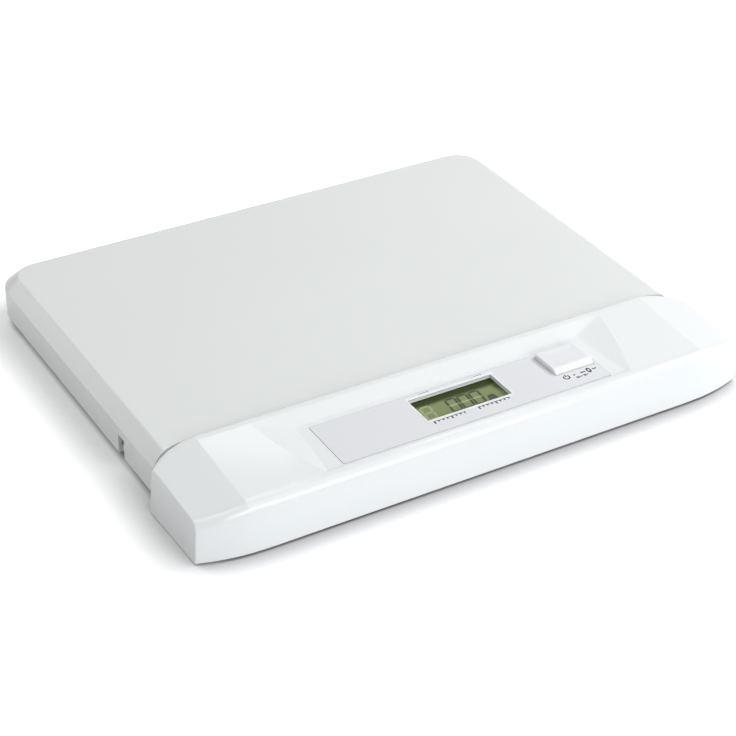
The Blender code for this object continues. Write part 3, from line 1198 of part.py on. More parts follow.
housing_white = new_material("housing white", (0.83, 0.84, 0.84), 0.22)
platform_white = new_material("platform white", (0.72, 0.74, 0.73), 0.45)
tray_white = new_material("tray white", (0.74, 0.75, 0.75), 0.5)
label_grey = new_material("label grey", (0.66, 0.66, 0.69), 0.4)
lcd_green = new_material("display green", (0.33, 0.38, 0.27), 0.2)
board_green = new_material("board green", (0.05, 0.22, 0.10), 0.5)
chip_black = new_material("chip black", (0.02, 0.02, 0.02), 0.5)
silicone_grey = new_material("silicone grey", (0.35, 0.35, 0.35), 0.7)
gauge_white = new_material("gauge silicone", (0.75, 0.75, 0.72), 0.6)
foot_rubber = new_material("foot rubber", (0.06, 0.06, 0.06), 0.8)
cable_grey = new_material("cable grey", (0.30, 0.30, 0.31), 0.5)
lead_red = new_material("lead red", (0.45, 0.03, 0.03), 0.5)
lead_black = new_material("lead black", (0.03, 0.03, 0.03), 0.5)
battery_sleeve = new_material("battery sleeve", (0.10, 0.22, 0.38), 0.35)
nickel = new_material("nickel plate", (0.62, 0.60, 0.55), 0.3, 1.0)
zinc_steel = new_material("zinc steel", (0.60, 0.61, 0.62), 0.35, 1.0)
galvanised = new_material("galvanised plate", (0.52, 0.54, 0.56), 0.45, 1.0)
aluminium = new_material("load cell aluminium", (0.74, 0.75, 0.77), 0.35, 1.0)
brass = new_material("brass", (0.72, 0.56, 0.26), 0.35, 1.0)

platform_slide = add_empty("platform_slide", (0.0, PLATFORM_MID_Y, PLATFORM_TOP_Z))
key_slide = add_empty("tare_key_slide", (KEY_OFFSET, KEY_MID_Y, KEY_TOP_Z))
door_hinge = add_empty("battery_door_hinge", (BAY_MID_X, HINGE_Y, BASE_Z))
bpy.context.view_layer.update()

base_tray()
front_housing()
control_label()
display()
circuit_board()
key_dome()
batteries()
battery_contacts()
feet()
housing_screws()
load_cell()
overload_stops()
wiring()
battery_door(door_hinge)
platform_cover(platform_slide)
platform_frame(platform_slide)
platform_fasteners(platform_slide)
tare_key(key_slide)
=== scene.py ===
import json
import math

import bmesh
import bpy
from mathutils import Euler, Matrix, Vector

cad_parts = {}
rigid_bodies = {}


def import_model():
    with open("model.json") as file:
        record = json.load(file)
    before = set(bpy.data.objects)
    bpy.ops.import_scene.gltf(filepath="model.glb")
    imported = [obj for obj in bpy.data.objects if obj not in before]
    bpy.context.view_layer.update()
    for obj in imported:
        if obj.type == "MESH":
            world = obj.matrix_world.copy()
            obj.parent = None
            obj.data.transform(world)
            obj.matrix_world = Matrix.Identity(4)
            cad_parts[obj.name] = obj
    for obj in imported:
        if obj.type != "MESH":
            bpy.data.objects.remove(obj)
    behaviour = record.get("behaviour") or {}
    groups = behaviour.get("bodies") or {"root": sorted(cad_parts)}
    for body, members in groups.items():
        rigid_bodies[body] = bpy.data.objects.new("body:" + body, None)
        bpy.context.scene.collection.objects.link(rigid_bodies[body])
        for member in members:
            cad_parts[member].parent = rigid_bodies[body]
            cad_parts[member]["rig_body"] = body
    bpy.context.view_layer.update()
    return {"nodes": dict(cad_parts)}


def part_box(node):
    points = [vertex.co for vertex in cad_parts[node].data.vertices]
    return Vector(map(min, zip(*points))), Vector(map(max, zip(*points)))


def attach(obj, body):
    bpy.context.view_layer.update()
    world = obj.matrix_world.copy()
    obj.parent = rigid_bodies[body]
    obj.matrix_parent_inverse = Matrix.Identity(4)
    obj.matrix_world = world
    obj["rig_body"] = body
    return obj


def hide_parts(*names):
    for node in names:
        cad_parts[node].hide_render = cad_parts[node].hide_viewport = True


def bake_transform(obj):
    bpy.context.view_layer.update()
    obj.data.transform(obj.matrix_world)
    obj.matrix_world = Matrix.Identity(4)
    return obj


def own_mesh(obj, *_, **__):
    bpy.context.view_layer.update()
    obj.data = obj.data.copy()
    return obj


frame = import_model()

mm = 0.001


def millimetres(**lengths):
    # The lengths of a piece's dictionary, written in millimetres
    def metres(value):
        return tuple(map(metres, value)) if isinstance(value, tuple) else value * mm

    return {name: metres(value) for name, value in lengths.items()}


# Shader trees: maths on a wire adds Math nodes
class Wire:
    def __init__(self, tree, socket):
        self.tree = tree
        self.socket = socket

    def __add__(self, other):
        return self.tree.math("ADD", self, other)

    def __sub__(self, other):
        return self.tree.math("SUBTRACT", self, other)

    def __rsub__(self, other):
        return self.tree.math("SUBTRACT", other, self)

    def __mul__(self, other):
        return self.tree.math("MULTIPLY", self, other)

    __radd__ = __add__
    __rmul__ = __mul__


class ShaderTree:
    def __init__(self, owner):
        owner.use_nodes = True
        self.owner = owner
        self.tree = owner.node_tree
        self.tree.nodes.clear()

    def node(self, kind, settings=None, values=None, output=0):
        made = self.tree.nodes.new(kind)
        for name, value in (settings or {}).items():
            setattr(made, name, value)
        for name, value in (values or {}).items():
            if isinstance(value, Wire):
                self.tree.links.new(value.socket, made.inputs[name])
            else:
                made.inputs[name].default_value = value
        return Wire(self, made.outputs[output]) if made.outputs else made

    def math(self, operation, *values):
        return self.node("ShaderNodeMath", {"operation": operation}, dict(enumerate(values)))

    def mix(self, factor, first, second, blend="MIX"):
        return self.node("ShaderNodeMix", {"data_type": "RGBA", "blend_type": blend},
                         {0: factor, 6: first, 7: second}, output=2)

    def axes(self, place):
        first = self.node("ShaderNodeSeparateXYZ", None, {0: place})
        return [Wire(self, socket) for socket in first.socket.node.outputs]

    def scaled(self, place, factors):
        return self.node("ShaderNodeVectorMath", {"operation": "MULTIPLY"}, {0: place, 1: factors})

    def noise(self, place, size, detail=2.0, roughness=0.5):
        values = {"Vector": place, "Scale": 1 / size, "Detail": detail, "Roughness": roughness}
        return self.node("ShaderNodeTexNoise", None, values)

    def cells(self, place, size, output=0):
        return self.node("ShaderNodeTexVoronoi", None, {"Vector": place, "Scale": 1 / size}, output)

    def ramp(self, value, low, high):
        return self.node("ShaderNodeMapRange", {"interpolation_type": "SMOOTHSTEP"},
                         {"Value": value, "From Min": low, "From Max": high})

    def bump(self, height, depth):
        return self.node("ShaderNodeBump", None,
                         {"Height": height, "Distance": depth, "Strength": 1.0})

    def surface(self, values):
        shader = self.node("ShaderNodeBsdfPrincipled", None, values)
        self.node("ShaderNodeOutputMaterial", None, {"Surface": shader})
        return self.owner


def newFinish(name):
    tree = ShaderTree(bpy.data.materials.new(name))
    return tree, tree.node("ShaderNodeTexCoord", output=3)  # Object: metres in the frame


def tone(red, green, blue):
    return (*[((part / 255 + 0.055) / 1.055) ** 2.4 for part in (red, green, blue)], 1.0)


# Finishes
def mouldedPlastic(name, colour, shade, cloud, grain, roughness, spread, depth):
    tree, place = newFinish(name)
    texture = tree.noise(place, grain * mm, detail=3.0)
    return tree.surface({
        "Base Color": tree.mix(tree.noise(place, cloud * mm), tone(*colour), tone(*shade)),
        "Roughness": roughness + spread * (texture - 0.5),
        "Normal": tree.bump(texture, depth * mm),
        "IOR": 1.49,
    })


def brushedMetal(name, colour, shade, cloud, grain, stretch, roughness, spread, depth):
    tree, place = newFinish(name)
    lines = tree.noise(tree.scaled(place, stretch), grain * mm, detail=4.0)
    return tree.surface({
        "Base Color": tree.mix(tree.noise(place, cloud * mm), tone(*colour), tone(*shade)),
        "Roughness": roughness + spread * (lines - 0.5),
        "Normal": tree.bump(lines, depth * mm),
        "Metallic": 1.0,
    })


def spangledSteel(name, look):
    tree, place = newFinish(name)
    warped = tree.noise(place, look["spangle"] * 2)
    flake = tree.cells(place, look["spangle"], output=1)
    grey = tree.mix(0.5, flake, warped)
    return tree.surface({
        "Base Color": tree.mix(grey, look["colour"], look["shade"]),
        "Roughness": look["roughness"] + look["spread"] * (warped - 0.5),
        "Metallic": 1.0,
    })


def solderMask(name, look):
    tree, place = newFinish(name)
    tracks = tree.node("ShaderNodeTexWave", {"bands_direction": "DIAGONAL"}, {
        "Vector": place, "Scale": look["trackScale"], "Distortion": look["trackBend"],
        "Detail": 1.0}, output=1)
    raised = tree.ramp(tracks, *look["trackEdge"])
    return tree.surface({
        "Base Color": tree.mix(raised, look["colour"], look["track"]),
        "Roughness": look["roughness"] + look["spread"] * tree.noise(place, look["grain"]),
        "Normal": tree.bump(raised, look["depth"]),
    })


def liquidCrystal(name, look):
    # Painted shade: the cell is darkest along its back edge and at its right end, where the
    # window's walls shade it
    tree, place = newFinish(name)
    x, y, _ = tree.axes(place)
    waver = look["waver"] * (tree.noise(place, look["cloud"]) - 0.5)
    band = tree.ramp(y + waver, look["bandStart"], look["bandEnd"])
    corner = tree.ramp(x + look["shadeCornerLean"] * y + waver, look["cornerStart"], look["cornerEnd"])
    shade = tree.math("MAXIMUM", band, look["shadeCornerDepth"] * corner)
    fibre = tree.noise(tree.scaled(place, look["stretch"]), look["fibre"], detail=3.0)
    base = tree.mix(fibre, look["colour"], look["mottle"])
    return tree.surface({
        "Base Color": tree.mix(shade, base, look["dark"]),
        "Roughness": look["roughness"] + look["spread"] * fibre,
        "Specular IOR Level": look["gloss"],
        "Coat Weight": look["coat"],
        "Coat Roughness": look["coatRoughness"],
    })


def cellSleeve(name, look):
    # Plain film: a dark body and a copper end with some metal in it
    tree, place = newFinish(name)
    _, y, _ = tree.axes(place)
    band = tree.ramp(y, look["bandStart"], look["bandEnd"])
    wrinkle = tree.noise(tree.scaled(place, look["stretch"]), look["grain"])
    return tree.surface({
        "Base Color": tree.mix(band, look["colour"], look["cap"]),
        "Roughness": look["roughness"] + look["spread"] * wrinkle,
        "Metallic": look["metal"] * band,
        "Normal": tree.bump(wrinkle, look["depth"]),
    })


# Colour, shade, cloud and grain size, roughness and its spread, grain depth; sizes in millimetres
plastics = {
    "gloss white housing": ((239, 241, 241), (236, 239, 239), 60, 3.0, 0.08, 0.02, 0.003),
    "satin white platform": ((231, 234, 232), (227, 230, 229), 80, 0.7, 0.36, 0.08, 0.010),
    "plain white tray": ((226, 228, 227), (221, 224, 223), 40, 0.5, 0.5, 0.12, 0.015),
    "white key": ((236, 236, 240), (233, 234, 238), 20, 0.9, 0.3, 0.06, 0.004),
    "grey label film": ((229, 230, 234), (226, 227, 231), 45, 0.35, 0.45, 0.08, 0.004),
    "screen print ink": ((34, 35, 38), (44, 45, 48), 4, 0.2, 0.55, 0.1, 0.002),
    "black rubber": ((38, 38, 39), (52, 52, 52), 6, 0.4, 0.85, 0.12, 0.03),
    "grey silicone": ((150, 151, 152), (138, 139, 141), 4, 0.5, 0.6, 0.1, 0.01),
    "poured white silicone": ((228, 227, 218), (216, 214, 202), 5, 2.5, 0.28, 0.15, 0.2),
    "black chip package": ((30, 30, 32), (38, 38, 40), 3, 0.12, 0.7, 0.1, 0.01),
    "grey cable jacket": ((120, 121, 124), (104, 105, 108), 8, 0.6, 0.5, 0.1, 0.01),
    "red lead": ((176, 30, 28), (150, 22, 22), 6, 0.5, 0.4, 0.1, 0.006),
    "black lead": ((32, 32, 33), (44, 44, 46), 6, 0.5, 0.4, 0.1, 0.006),
    "display figure, on": ((40, 50, 22), (48, 58, 28), 5, 0.6, 0.3, 0.05, 0.001),
    "display figure, off": ((150, 160, 114), (156, 166, 120), 5, 0.6, 0.3, 0.05, 0.001),
}
# The same, with the brushing's stretch along each axis after the grain size
metals = {
    "nickel plate": ((206, 201, 188), (188, 183, 170), 8, 1.2, (1.0, 1.0, 6.0), 0.28, 0.14, 0.004),
    "zinc plated steel": ((200, 203, 206), (176, 181, 188), 3, 0.8, (1.0, 1.0, 3.0), 0.32, 0.16,
                          0.006),
    "machined aluminium": ((214, 216, 219), (202, 205, 209), 12, 2.0, (1.0, 14.0, 14.0), 0.3, 0.18,
                           0.006),
    "turned brass": ((214, 184, 112), (196, 160, 88), 4, 1.0, (1.0, 1.0, 12.0), 0.26, 0.14, 0.005),
}
plastic = {name: mouldedPlastic(name, *look) for name, look in plastics.items()}
metal = {name: brushedMetal(name, *look) for name, look in metals.items()}
galvanisedSteel = spangledSteel("galvanised sheet", {
    "colour": tone(172, 177, 182), "shade": tone(206, 210, 214), "spangle": 7 * mm,
    "roughness": 0.42, "spread": 0.25})
boardGreen = solderMask("green solder mask", {
    "colour": tone(14, 74, 40), "track": tone(30, 112, 62), "trackScale": 160, "trackBend": 3.0,
    "trackEdge": (0.55, 0.62), "grain": 1.5 * mm, "roughness": 0.28, "spread": 0.15,
    "depth": 0.02 * mm})
print("finishes made")


# Mesh helpers
def inScene(name, data):
    made = bpy.data.objects.new(name, data)
    bpy.context.scene.collection.objects.link(made)
    return made


def meshObject(bm, name):
    bmesh.ops.recalc_face_normals(bm, faces=bm.faces)
    mesh = bpy.data.meshes.new(name)
    bm.to_mesh(mesh)
    bm.free()
    return inScene(name, mesh)


def evaluated(piece):
    bpy.context.view_layer.update()
    final = piece.evaluated_get(bpy.context.evaluated_depsgraph_get())
    return bpy.data.meshes.new_from_object(final)


def newPiece(name, bm, finish, body, replaced=(), sharp=38, location=(0.0, 0.0, 0.0)):
    # A finished piece of the visual; edges above the sharp angle, in degrees, stay crisp
    piece = meshObject(bm, name)
    piece.location = location
    rough = piece.data
    for each in finish if isinstance(finish, list) else [finish]:
        rough.materials.append(each)
    rough.shade_smooth()
    rough.set_sharp_from_angle(angle=math.radians(sharp))
    weighted = piece.modifiers.new("weighted", "WEIGHTED_NORMAL")  # wide flats stay flat in shade
    weighted.keep_sharp = True
    piece.data = evaluated(piece)
    piece.modifiers.clear()
    bpy.data.meshes.remove(rough)
    if body:
        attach(piece, body)
    if replaced:
        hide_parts(*replaced)
    return piece


def discard(draft):
    mesh = draft.data
    bpy.data.objects.remove(draft)
    bpy.data.meshes.remove(mesh)


def baked(draft):
    # The draft with its modifiers applied, as a bmesh again
    mesh, made = evaluated(draft), bmesh.new()
    made.from_mesh(mesh)
    bpy.data.meshes.remove(mesh)
    discard(draft)
    return made


def carved(bm, joins=(), cuts=()):
    # Boolean work on a closed mesh; each entry fills a bmesh with one closed tool
    draft = meshObject(bm, "draft")
    tools = []
    for operation, builders in (("UNION", joins), ("DIFFERENCE", cuts)):
        for build in builders:
            toolMesh = bmesh.new()
            build(toolMesh)
            tools.append(meshObject(toolMesh, "tool"))
            modifier = draft.modifiers.new("tool", "BOOLEAN")
            modifier.operation = operation
            modifier.solver = "EXACT"
            modifier.object = tools[-1]
    made = baked(draft)
    for tool in tools:
        discard(tool)
    return made


def loft(bm, rings, capped=True):
    # Quads between rings of equal length; a ring of one point is a tip
    loops = [[bm.verts.new(point) for point in ring] for ring in rings]
    for low, high in zip(loops, loops[1:]):
        count = max(len(low), len(high))
        for i in range(count):
            corners = [low[i - 1], low[i]] if len(low) > 1 else [low[0]]
            corners += [high[i], high[i - 1]] if len(high) > 1 else [high[0]]
            bm.faces.new(corners)
    if capped:
        bm.faces.new(reversed(loops[0]))
        bm.faces.new(loops[-1])


def eased(corners, steps=4):
    # A polyline of (u, v, radius) with each corner rounded
    points = []
    for index, (u, v, radius) in enumerate(corners):
        corner = Vector((u, v))
        if radius <= 0.0 or index in (0, len(corners) - 1):
            points.append(corner)
            continue
        before = Vector(corners[index - 1][:2]) - corner
        after = Vector(corners[index + 1][:2]) - corner
        half = before.angle(after) / 2
        run = min(radius / math.tan(half), before.length * 0.49, after.length * 0.49)
        start, end = corner + before.normalized() * run, corner + after.normalized() * run
        for i in range(steps + 1):
            t = i / steps
            points.append(start * (1 - t) ** 2 + corner * 2 * t * (1 - t) + end * t ** 2)
    return points


def turned(bm, profile, sides=48, centre=(0.0, 0.0, 0.0), axis="Z"):
    # Profile of (radius, height); a radius of zero is a tip
    x, y, z = centre
    rings = []
    for radius, height in profile:
        ring = []
        for i in range(sides if radius > 0.0 else 1):
            angle = math.tau * i / sides
            u, v = radius * math.cos(angle), radius * math.sin(angle)
            ring.append((x + u, y + v, z + height) if axis == "Z" else (x - u, y + height, z + v))
        rings.append(ring)
    loft(bm, rings, capped=False)


def rectangle(low, high, inset, corner, z, steps=6):
    # Rounded rectangle in plan
    left, front, right, back = low[0] + inset, low[1] + inset, high[0] - inset, high[1] - inset
    radius = max(corner - inset, 0.02 * mm)
    middles = [(right - radius, back - radius), (left + radius, back - radius),
               (left + radius, front + radius), (right - radius, front + radius)]
    points = []
    for quarter, (x, y) in enumerate(middles):
        for i in range(steps + 1):
            angle = math.pi / 2 * (quarter + i / steps)
            points.append((x + radius * math.cos(angle), y + radius * math.sin(angle), z))
    return points


def slab(bm, low, high, corner, edge, steps=6):
    # Block with rounded upright corners and eased rims
    reach = max(corner, edge) + edge
    profile = eased([(reach, low[2], 0.0), (0.0, low[2], edge), (0.0, high[2], edge),
                     (reach, high[2], 0.0)], 3)
    loft(bm, [rectangle(low, high, inset, corner, z, steps) for inset, z in profile])


def box(bm, low, high):
    made = bmesh.ops.create_cube(bm, size=1.0)["verts"]
    bmesh.ops.scale(bm, vec=[b - a for a, b in zip(low, high)], verts=made)
    bmesh.ops.translate(bm, vec=[(a + b) / 2 for a, b in zip(low, high)], verts=made)


def prism(bm, outline, lowZ, highZ):
    loft(bm, [[(x, y, z) for x, y in outline] for z in (lowZ, highZ)])


def bossTool(bm, node, radius, lowZ, highZ):
    # A post round a screw, to join to the shell above it
    x, y, _ = middleOf(node)
    turned(bm, [(0.0, lowZ), (radius, lowZ), (radius, highZ), (0.0, highZ)], 32, (x, y, 0.0))


def middleOf(node):
    return [(a + b) / 2 for a, b in zip(*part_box(node))]


# Camera, from the photograph's own view
camera = {"place": (-0.5205, -0.8724, 0.6521), "down": 33.27, "heading": 31.21, "roll": -1.134,
          "lens": 94.23, "sensor": 36.0, "near": 0.01}


def makeCamera():
    data = bpy.data.cameras.new("camera")
    data.lens, data.sensor_width, data.clip_start = camera["lens"], camera["sensor"], camera["near"]
    view = inScene("camera", data)
    down, turn, roll = [math.radians(camera[name]) for name in ("down", "heading", "roll")]
    facing = Euler((math.pi / 2 - down, 0.0, -turn)).to_matrix() @ Matrix.Rotation(-roll, 3, "Z")
    view.matrix_world = Matrix.LocRotScale(Vector(camera["place"]), facing, None)
    bpy.context.scene.camera = view


makeCamera()

# Control housing: the outer form is a grid of stations across X, each a row from back to front
coverLow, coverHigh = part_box("platform_cover")
shellLow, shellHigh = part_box("front_housing")
housing = {
    **millimetres(
        overhang=3.8, wall=2.2, crestRadius=2.6, rim=5.8, backLift=7.1, recessDepth=4.5,
        recessRun=9.7, recessSpread=6.0, slopeBack=24.5, slopeFront=2.0, lip=9.5, lipRise=0.7,
        lipBefore=0.9, lipAfter=0.6, frontRadius=5.6, frontLean=1.8, frontSweep=7.55,
        frontSweepRun=43.8, backSweep=10.65, backSweepRun=25.8, creaseInset=30.8, sideDrop=6.0,
        sideFall=4.2, sideLean=2.4, sideFlare=1.6, sideRadius=0.8, pocket=0.5, gap=0.3,
        trayGap=1.0, bossRadius=3.8, trayFloor=2.5, trayBoss=6.0),
    "recessShare": 0.51687, "footEase": 0.14, "crestEase": 0.05, "slopeEase": 0.16,
    "ridgeEase": 0.03, "lipEase": 0.4, "valley": 12.0, "ridgeBend": 1.3, "sideBend": 1.06,
    "sideFallBend": 1.6, "backBend": 2.4, "frontBend": 2.2,
}
# Holes of the panel: how far they stay inside the cell's and the key's own outlines
openings = millimetres(windowBorder=3.0, keyFlange=1.6, keyPlay=0.4, through=2, labelCorner=1.5)
baseZ, crestZ = shellLow.z, shellHigh.z
seamY, shellDepth = shellHigh.y, shellHigh.y - shellLow.y
shellHalf = coverHigh.x + housing["overhang"]
panelZ = crestZ - housing["recessDepth"]
panelUnderZ = panelZ - housing["wall"]
lipT = shellDepth - housing["lip"]
creaseX = shellHalf - housing["creaseInset"]
recessHalf = shellHalf * housing["recessShare"]
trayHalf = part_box("base_tray")[1].x
labelLow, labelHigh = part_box("control_label")
lcdLow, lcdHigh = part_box("lcd_module")
keyLow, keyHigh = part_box("tare_key")
# Rows down the recess's back wall, from just above it to just past its foot, closest at its crest
wallShares = [-0.15, -0.06, -0.03, 0.0, 0.03, 0.06] + [0.12 + 1.03 * i / 14 for i in range(15)]


def shareBetween(value, start, end):
    return min(max((value - start) / (end - start), 0.0), 1.0)


def easedShare(value, start, end, ease, endEase=None):
    # A straight ramp whose two ends are rounded
    share = (value - start) / (end - start)
    last = ease if endEase is None else endEase
    if share < -ease:
        return 0.0
    if share < ease:
        return (share + ease) ** 2 / (4 * ease)
    if share < 1.0 - last:
        return share
    if share < 1.0 + last:
        return 1.0 - (1.0 + last - share) ** 2 / (4 * last)
    return 1.0


def sweep(end, x):
    # How far the housing's back or front edge draws in towards its ends
    run = housing[end + "SweepRun"]
    share = max((abs(x) - (shellHalf - run)) / run, 0.0)
    return housing[end + "Sweep"] * share ** housing[end + "Bend"]


def wingHeight(t):
    fall = housing["recessDepth"] - housing["lipRise"]
    return crestZ - fall * shareBetween(t, housing["rim"], lipT)


def sideHeight(t):
    fall = shareBetween(t, 0.0, lipT) ** housing["sideFallBend"]
    return crestZ - housing["sideDrop"] - housing["sideFall"] * fall


def sidePlane(t, z):
    flare = housing["sideFlare"] * (1.0 - t / shellDepth)
    return shellHalf + flare - housing["sideLean"] * (z - baseZ) / (crestZ - baseZ)


def stationPoint(block, share, t, z=None):
    # X and height of a station, t forward of the seam; each block's share runs from 0 to 1 outwards
    along = shareBetween(t, housing["rim"], lipT)
    foot = recessHalf + housing["recessSpread"] * along
    slopeRun = housing["slopeFront"] - housing["slopeBack"]
    edge = foot + housing["slopeBack"] + slopeRun * along ** housing["ridgeBend"]
    ridge = wingHeight(t)
    wall = easedShare(t, housing["rim"], housing["rim"] + housing["recessRun"],
                      housing["crestEase"], housing["footEase"])
    lip = easedShare(t, lipT - 2 * housing["lipRise"], lipT, housing["lipEase"])
    rise = max(housing["recessDepth"] * (1.0 - wall), housing["lipRise"] * lip)
    if block == "floor":
        return foot * share, panelZ + rise
    if block == "slope":
        rising = easedShare(share, 0.0, 1.0, housing["slopeEase"], housing["ridgeEase"])
        slope, valley = (ridge - panelZ) * rising, housing["valley"]
        height = (rise ** valley + slope ** valley) ** (1.0 / valley)
        return foot + (edge - foot) * share, panelZ + min(height, ridge - panelZ)
    if block == "wing":
        return edge + (creaseX - edge) * share, ridge
    top = ridge + (sideHeight(t) - ridge) * share ** housing["sideBend"]
    side = sidePlane(t, top if z is None else z)
    return creaseX + (side - creaseX) * share, top


def stationRow(side, block, share, stepIn):
    # From the foot of the back wall over the top to the foot of the front wall
    nearX, _ = stationPoint(block, share, 0.0)
    back, swept = sweep("back", nearX), sweep("front", nearX)
    front = shellDepth - swept
    overTray = block != "outer" or share < stepIn * 1.0001
    row = []

    def add(t, z=None):
        x, top = stationPoint(block, share, t, z)
        row.append((side * x, seamY - t, top if z is None else z))

    crestR, frontR = housing["crestRadius"], housing["frontRadius"]
    _, crest = stationPoint(block, share, back + crestR)
    add(back, baseZ + housing["backLift"] if overTray else baseZ)
    for i in range(7):
        angle = i / 7 * math.pi / 2
        add(back + crestR * (1.0 - math.cos(angle)), crest - crestR * (1.0 - math.sin(angle)))
    add(back + crestR)
    for down in wallShares:
        inward = back * (1.0 - min(max(down, 0.0), 1.0) / 2)
        add(inward + housing["rim"] + housing["recessRun"] * down)
    wallFootT = back / 2 + housing["rim"] + wallShares[-1] * housing["recessRun"]
    lipEndT = lipT - swept + housing["lipAfter"]
    lipStartT = lipT - swept - 2 * housing["lipRise"] - housing["lipBefore"]
    for i in range(1, 9):
        add(wallFootT + (lipStartT - wallFootT) * i / 8)
    for i in range(1, 8):
        add(lipStartT + (lipEndT - lipStartT) * i / 7)
    _, lipZ = stationPoint(block, share, lipEndT)
    centreZ = lipZ - frontR
    lean = housing["frontLean"] * (centreZ - baseZ) / (crestZ - baseZ)
    centreT = front - lean - frontR
    for i in range(1, 13):
        angle = i / 12 * math.pi / 2
        add(centreT + frontR * math.sin(angle), centreZ + frontR * math.cos(angle))
    add(front, baseZ)
    return row


def housingStations():
    # The step in the outer wall, where the housing reaches past the tray's side, has its own rows
    stepIn = shareBetween(trayHalf + housing["trayGap"], creaseX, shellHalf)
    stepOut = shareBetween(trayHalf + 2 * housing["trayGap"], creaseX, shellHalf)
    blocks = {"floor": [0.0, 0.5, 1.0], "slope": [i / 16 for i in range(1, 16)] + [0.97, 1.0],
              "wing": [0.015] + [i / 14 for i in range(1, 14)] + [0.985, 1.0],
              "outer": [0.012, 0.03] + [stepIn * i / 22 for i in range(1, 23)]
              + [stepOut, (stepOut + 0.955) / 2, 0.955, 1.0]}
    return [(block, share) for block, shares in blocks.items() for share in shares], stepIn


def openingBlock(bm, low, high, inset):
    box(bm, (low.x + inset, low.y + inset, panelUnderZ - openings["through"]),
        (high.x - inset, high.y - inset, panelZ + openings["through"]))


def windowBlock(bm):
    openingBlock(bm, lcdLow, lcdHigh, openings["windowBorder"])


def keyBlock(bm):
    openingBlock(bm, keyLow, keyHigh, openings["keyFlange"] - openings["keyPlay"])


def labelPocket(bm):
    gap = housing["gap"]
    loft(bm, [rectangle(labelLow, labelHigh, -gap, openings["labelCorner"] - gap, z, 5)
              for z in (panelZ - housing["pocket"], crestZ)])


def topHeight(x, y):
    t, half = seamY - y, abs(x)
    foot = stationPoint("floor", 1.0, t)[0]
    edge = stationPoint("slope", 1.0, t)[0]
    if half < foot:
        return stationPoint("floor", 1.0, t)[1]
    if half < edge:
        return stationPoint("slope", shareBetween(half, foot, edge), t)[1]
    return stationPoint("outer", shareBetween(half, creaseX, sidePlane(t, panelZ)), t)[1]


def makeHousing():
    stations, stepIn = housingStations()
    rows = [stationRow(-1, block, share, stepIn) for block, share in reversed(stations)]
    rows += [stationRow(1, block, share, stepIn) for block, share in stations[1:]]
    bm = bmesh.new()
    grid = [[bm.verts.new(point) for point in row] for row in rows]
    for near, far in zip(grid, grid[1:]):
        for i in range(len(near) - 1):
            bm.faces.new((near[i], near[i + 1], far[i + 1], far[i]))
    ends = [bm.faces.new(grid[0]), bm.faces.new(reversed(grid[-1]))]
    rims = [edge for end in ends for edge in end.edges
            if max(vert.co.z for vert in edge.verts) > baseZ + 1 * mm]
    bmesh.ops.recalc_face_normals(bm, faces=bm.faces)
    bmesh.ops.bevel(bm, geom=rims, offset=housing["sideRadius"], segments=3, profile=0.5,
                    affect="EDGES", clamp_overlap=False)
    draft = meshObject(bm, "draft")
    wall = draft.modifiers.new("wall", "SOLIDIFY")
    wall.thickness = housing["wall"]
    wall.offset = -1.0
    wall.use_even_offset = True
    shell = baked(draft)
    for vert in shell.verts:
        vert.co.z = max(vert.co.z, baseZ)

    def bosses(tool):
        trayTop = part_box("base_tray")[0].z + housing["trayFloor"] + housing["trayBoss"]
        for number in range(1, 7):
            node = f"housing_screw_{number}"
            x, y, _ = middleOf(node)
            bossTool(tool, node, housing["bossRadius"], trayTop + housing["gap"],
                     topHeight(x, y) - housing["wall"] / 2)

    shell = carved(shell, [bosses], [labelPocket, windowBlock, keyBlock])
    newPiece("housing_shell", shell, plastic["gloss white housing"], "base",
             ("front_housing",), 34)


makeHousing()
print("housing made")

# Platform cover: a loft up the outside, with the inside as a second skin
cover = {
    **millimetres(
        wall=2.6, bevelRun=9.2, bevelDrop=6.9, corner=24.5, edge=0.7, footEdge=0.3, topEdge=3.6,
        frontEdge=0.5, notch=(8.0, 13.0), notchSetback=36.5, cableNotch=(14.4, 4.8),
        cableOffset=10.0, seam=1.0, bossRadius=4.4, bossDrop=1.3, through=2),
    "bevelShare": (0.60, 0.67),
}


def coverRing(inset, z, frontInset=0.0):
    half, back, front = coverHigh.x - inset, coverHigh.y - inset, seamY + cover["seam"] + frontInset
    radius = max(cover["corner"] - inset, cover["wall"])
    shares = [0.0001, 0.45, 0.8, 0.84] + [0.86 + 0.14 * i / 14 for i in range(15)]
    right = [(half * share, front - sweep("back", half * share - cover["seam"]))
             for share in shares]
    for i in range(29):
        angle = i / 28 * math.pi / 2
        right.append((half - radius + radius * math.cos(angle),
                      back - radius + radius * math.sin(angle)))
    return [(x, y, z) for x, y in right] + [(-x, y, z) for x, y in reversed(right)]


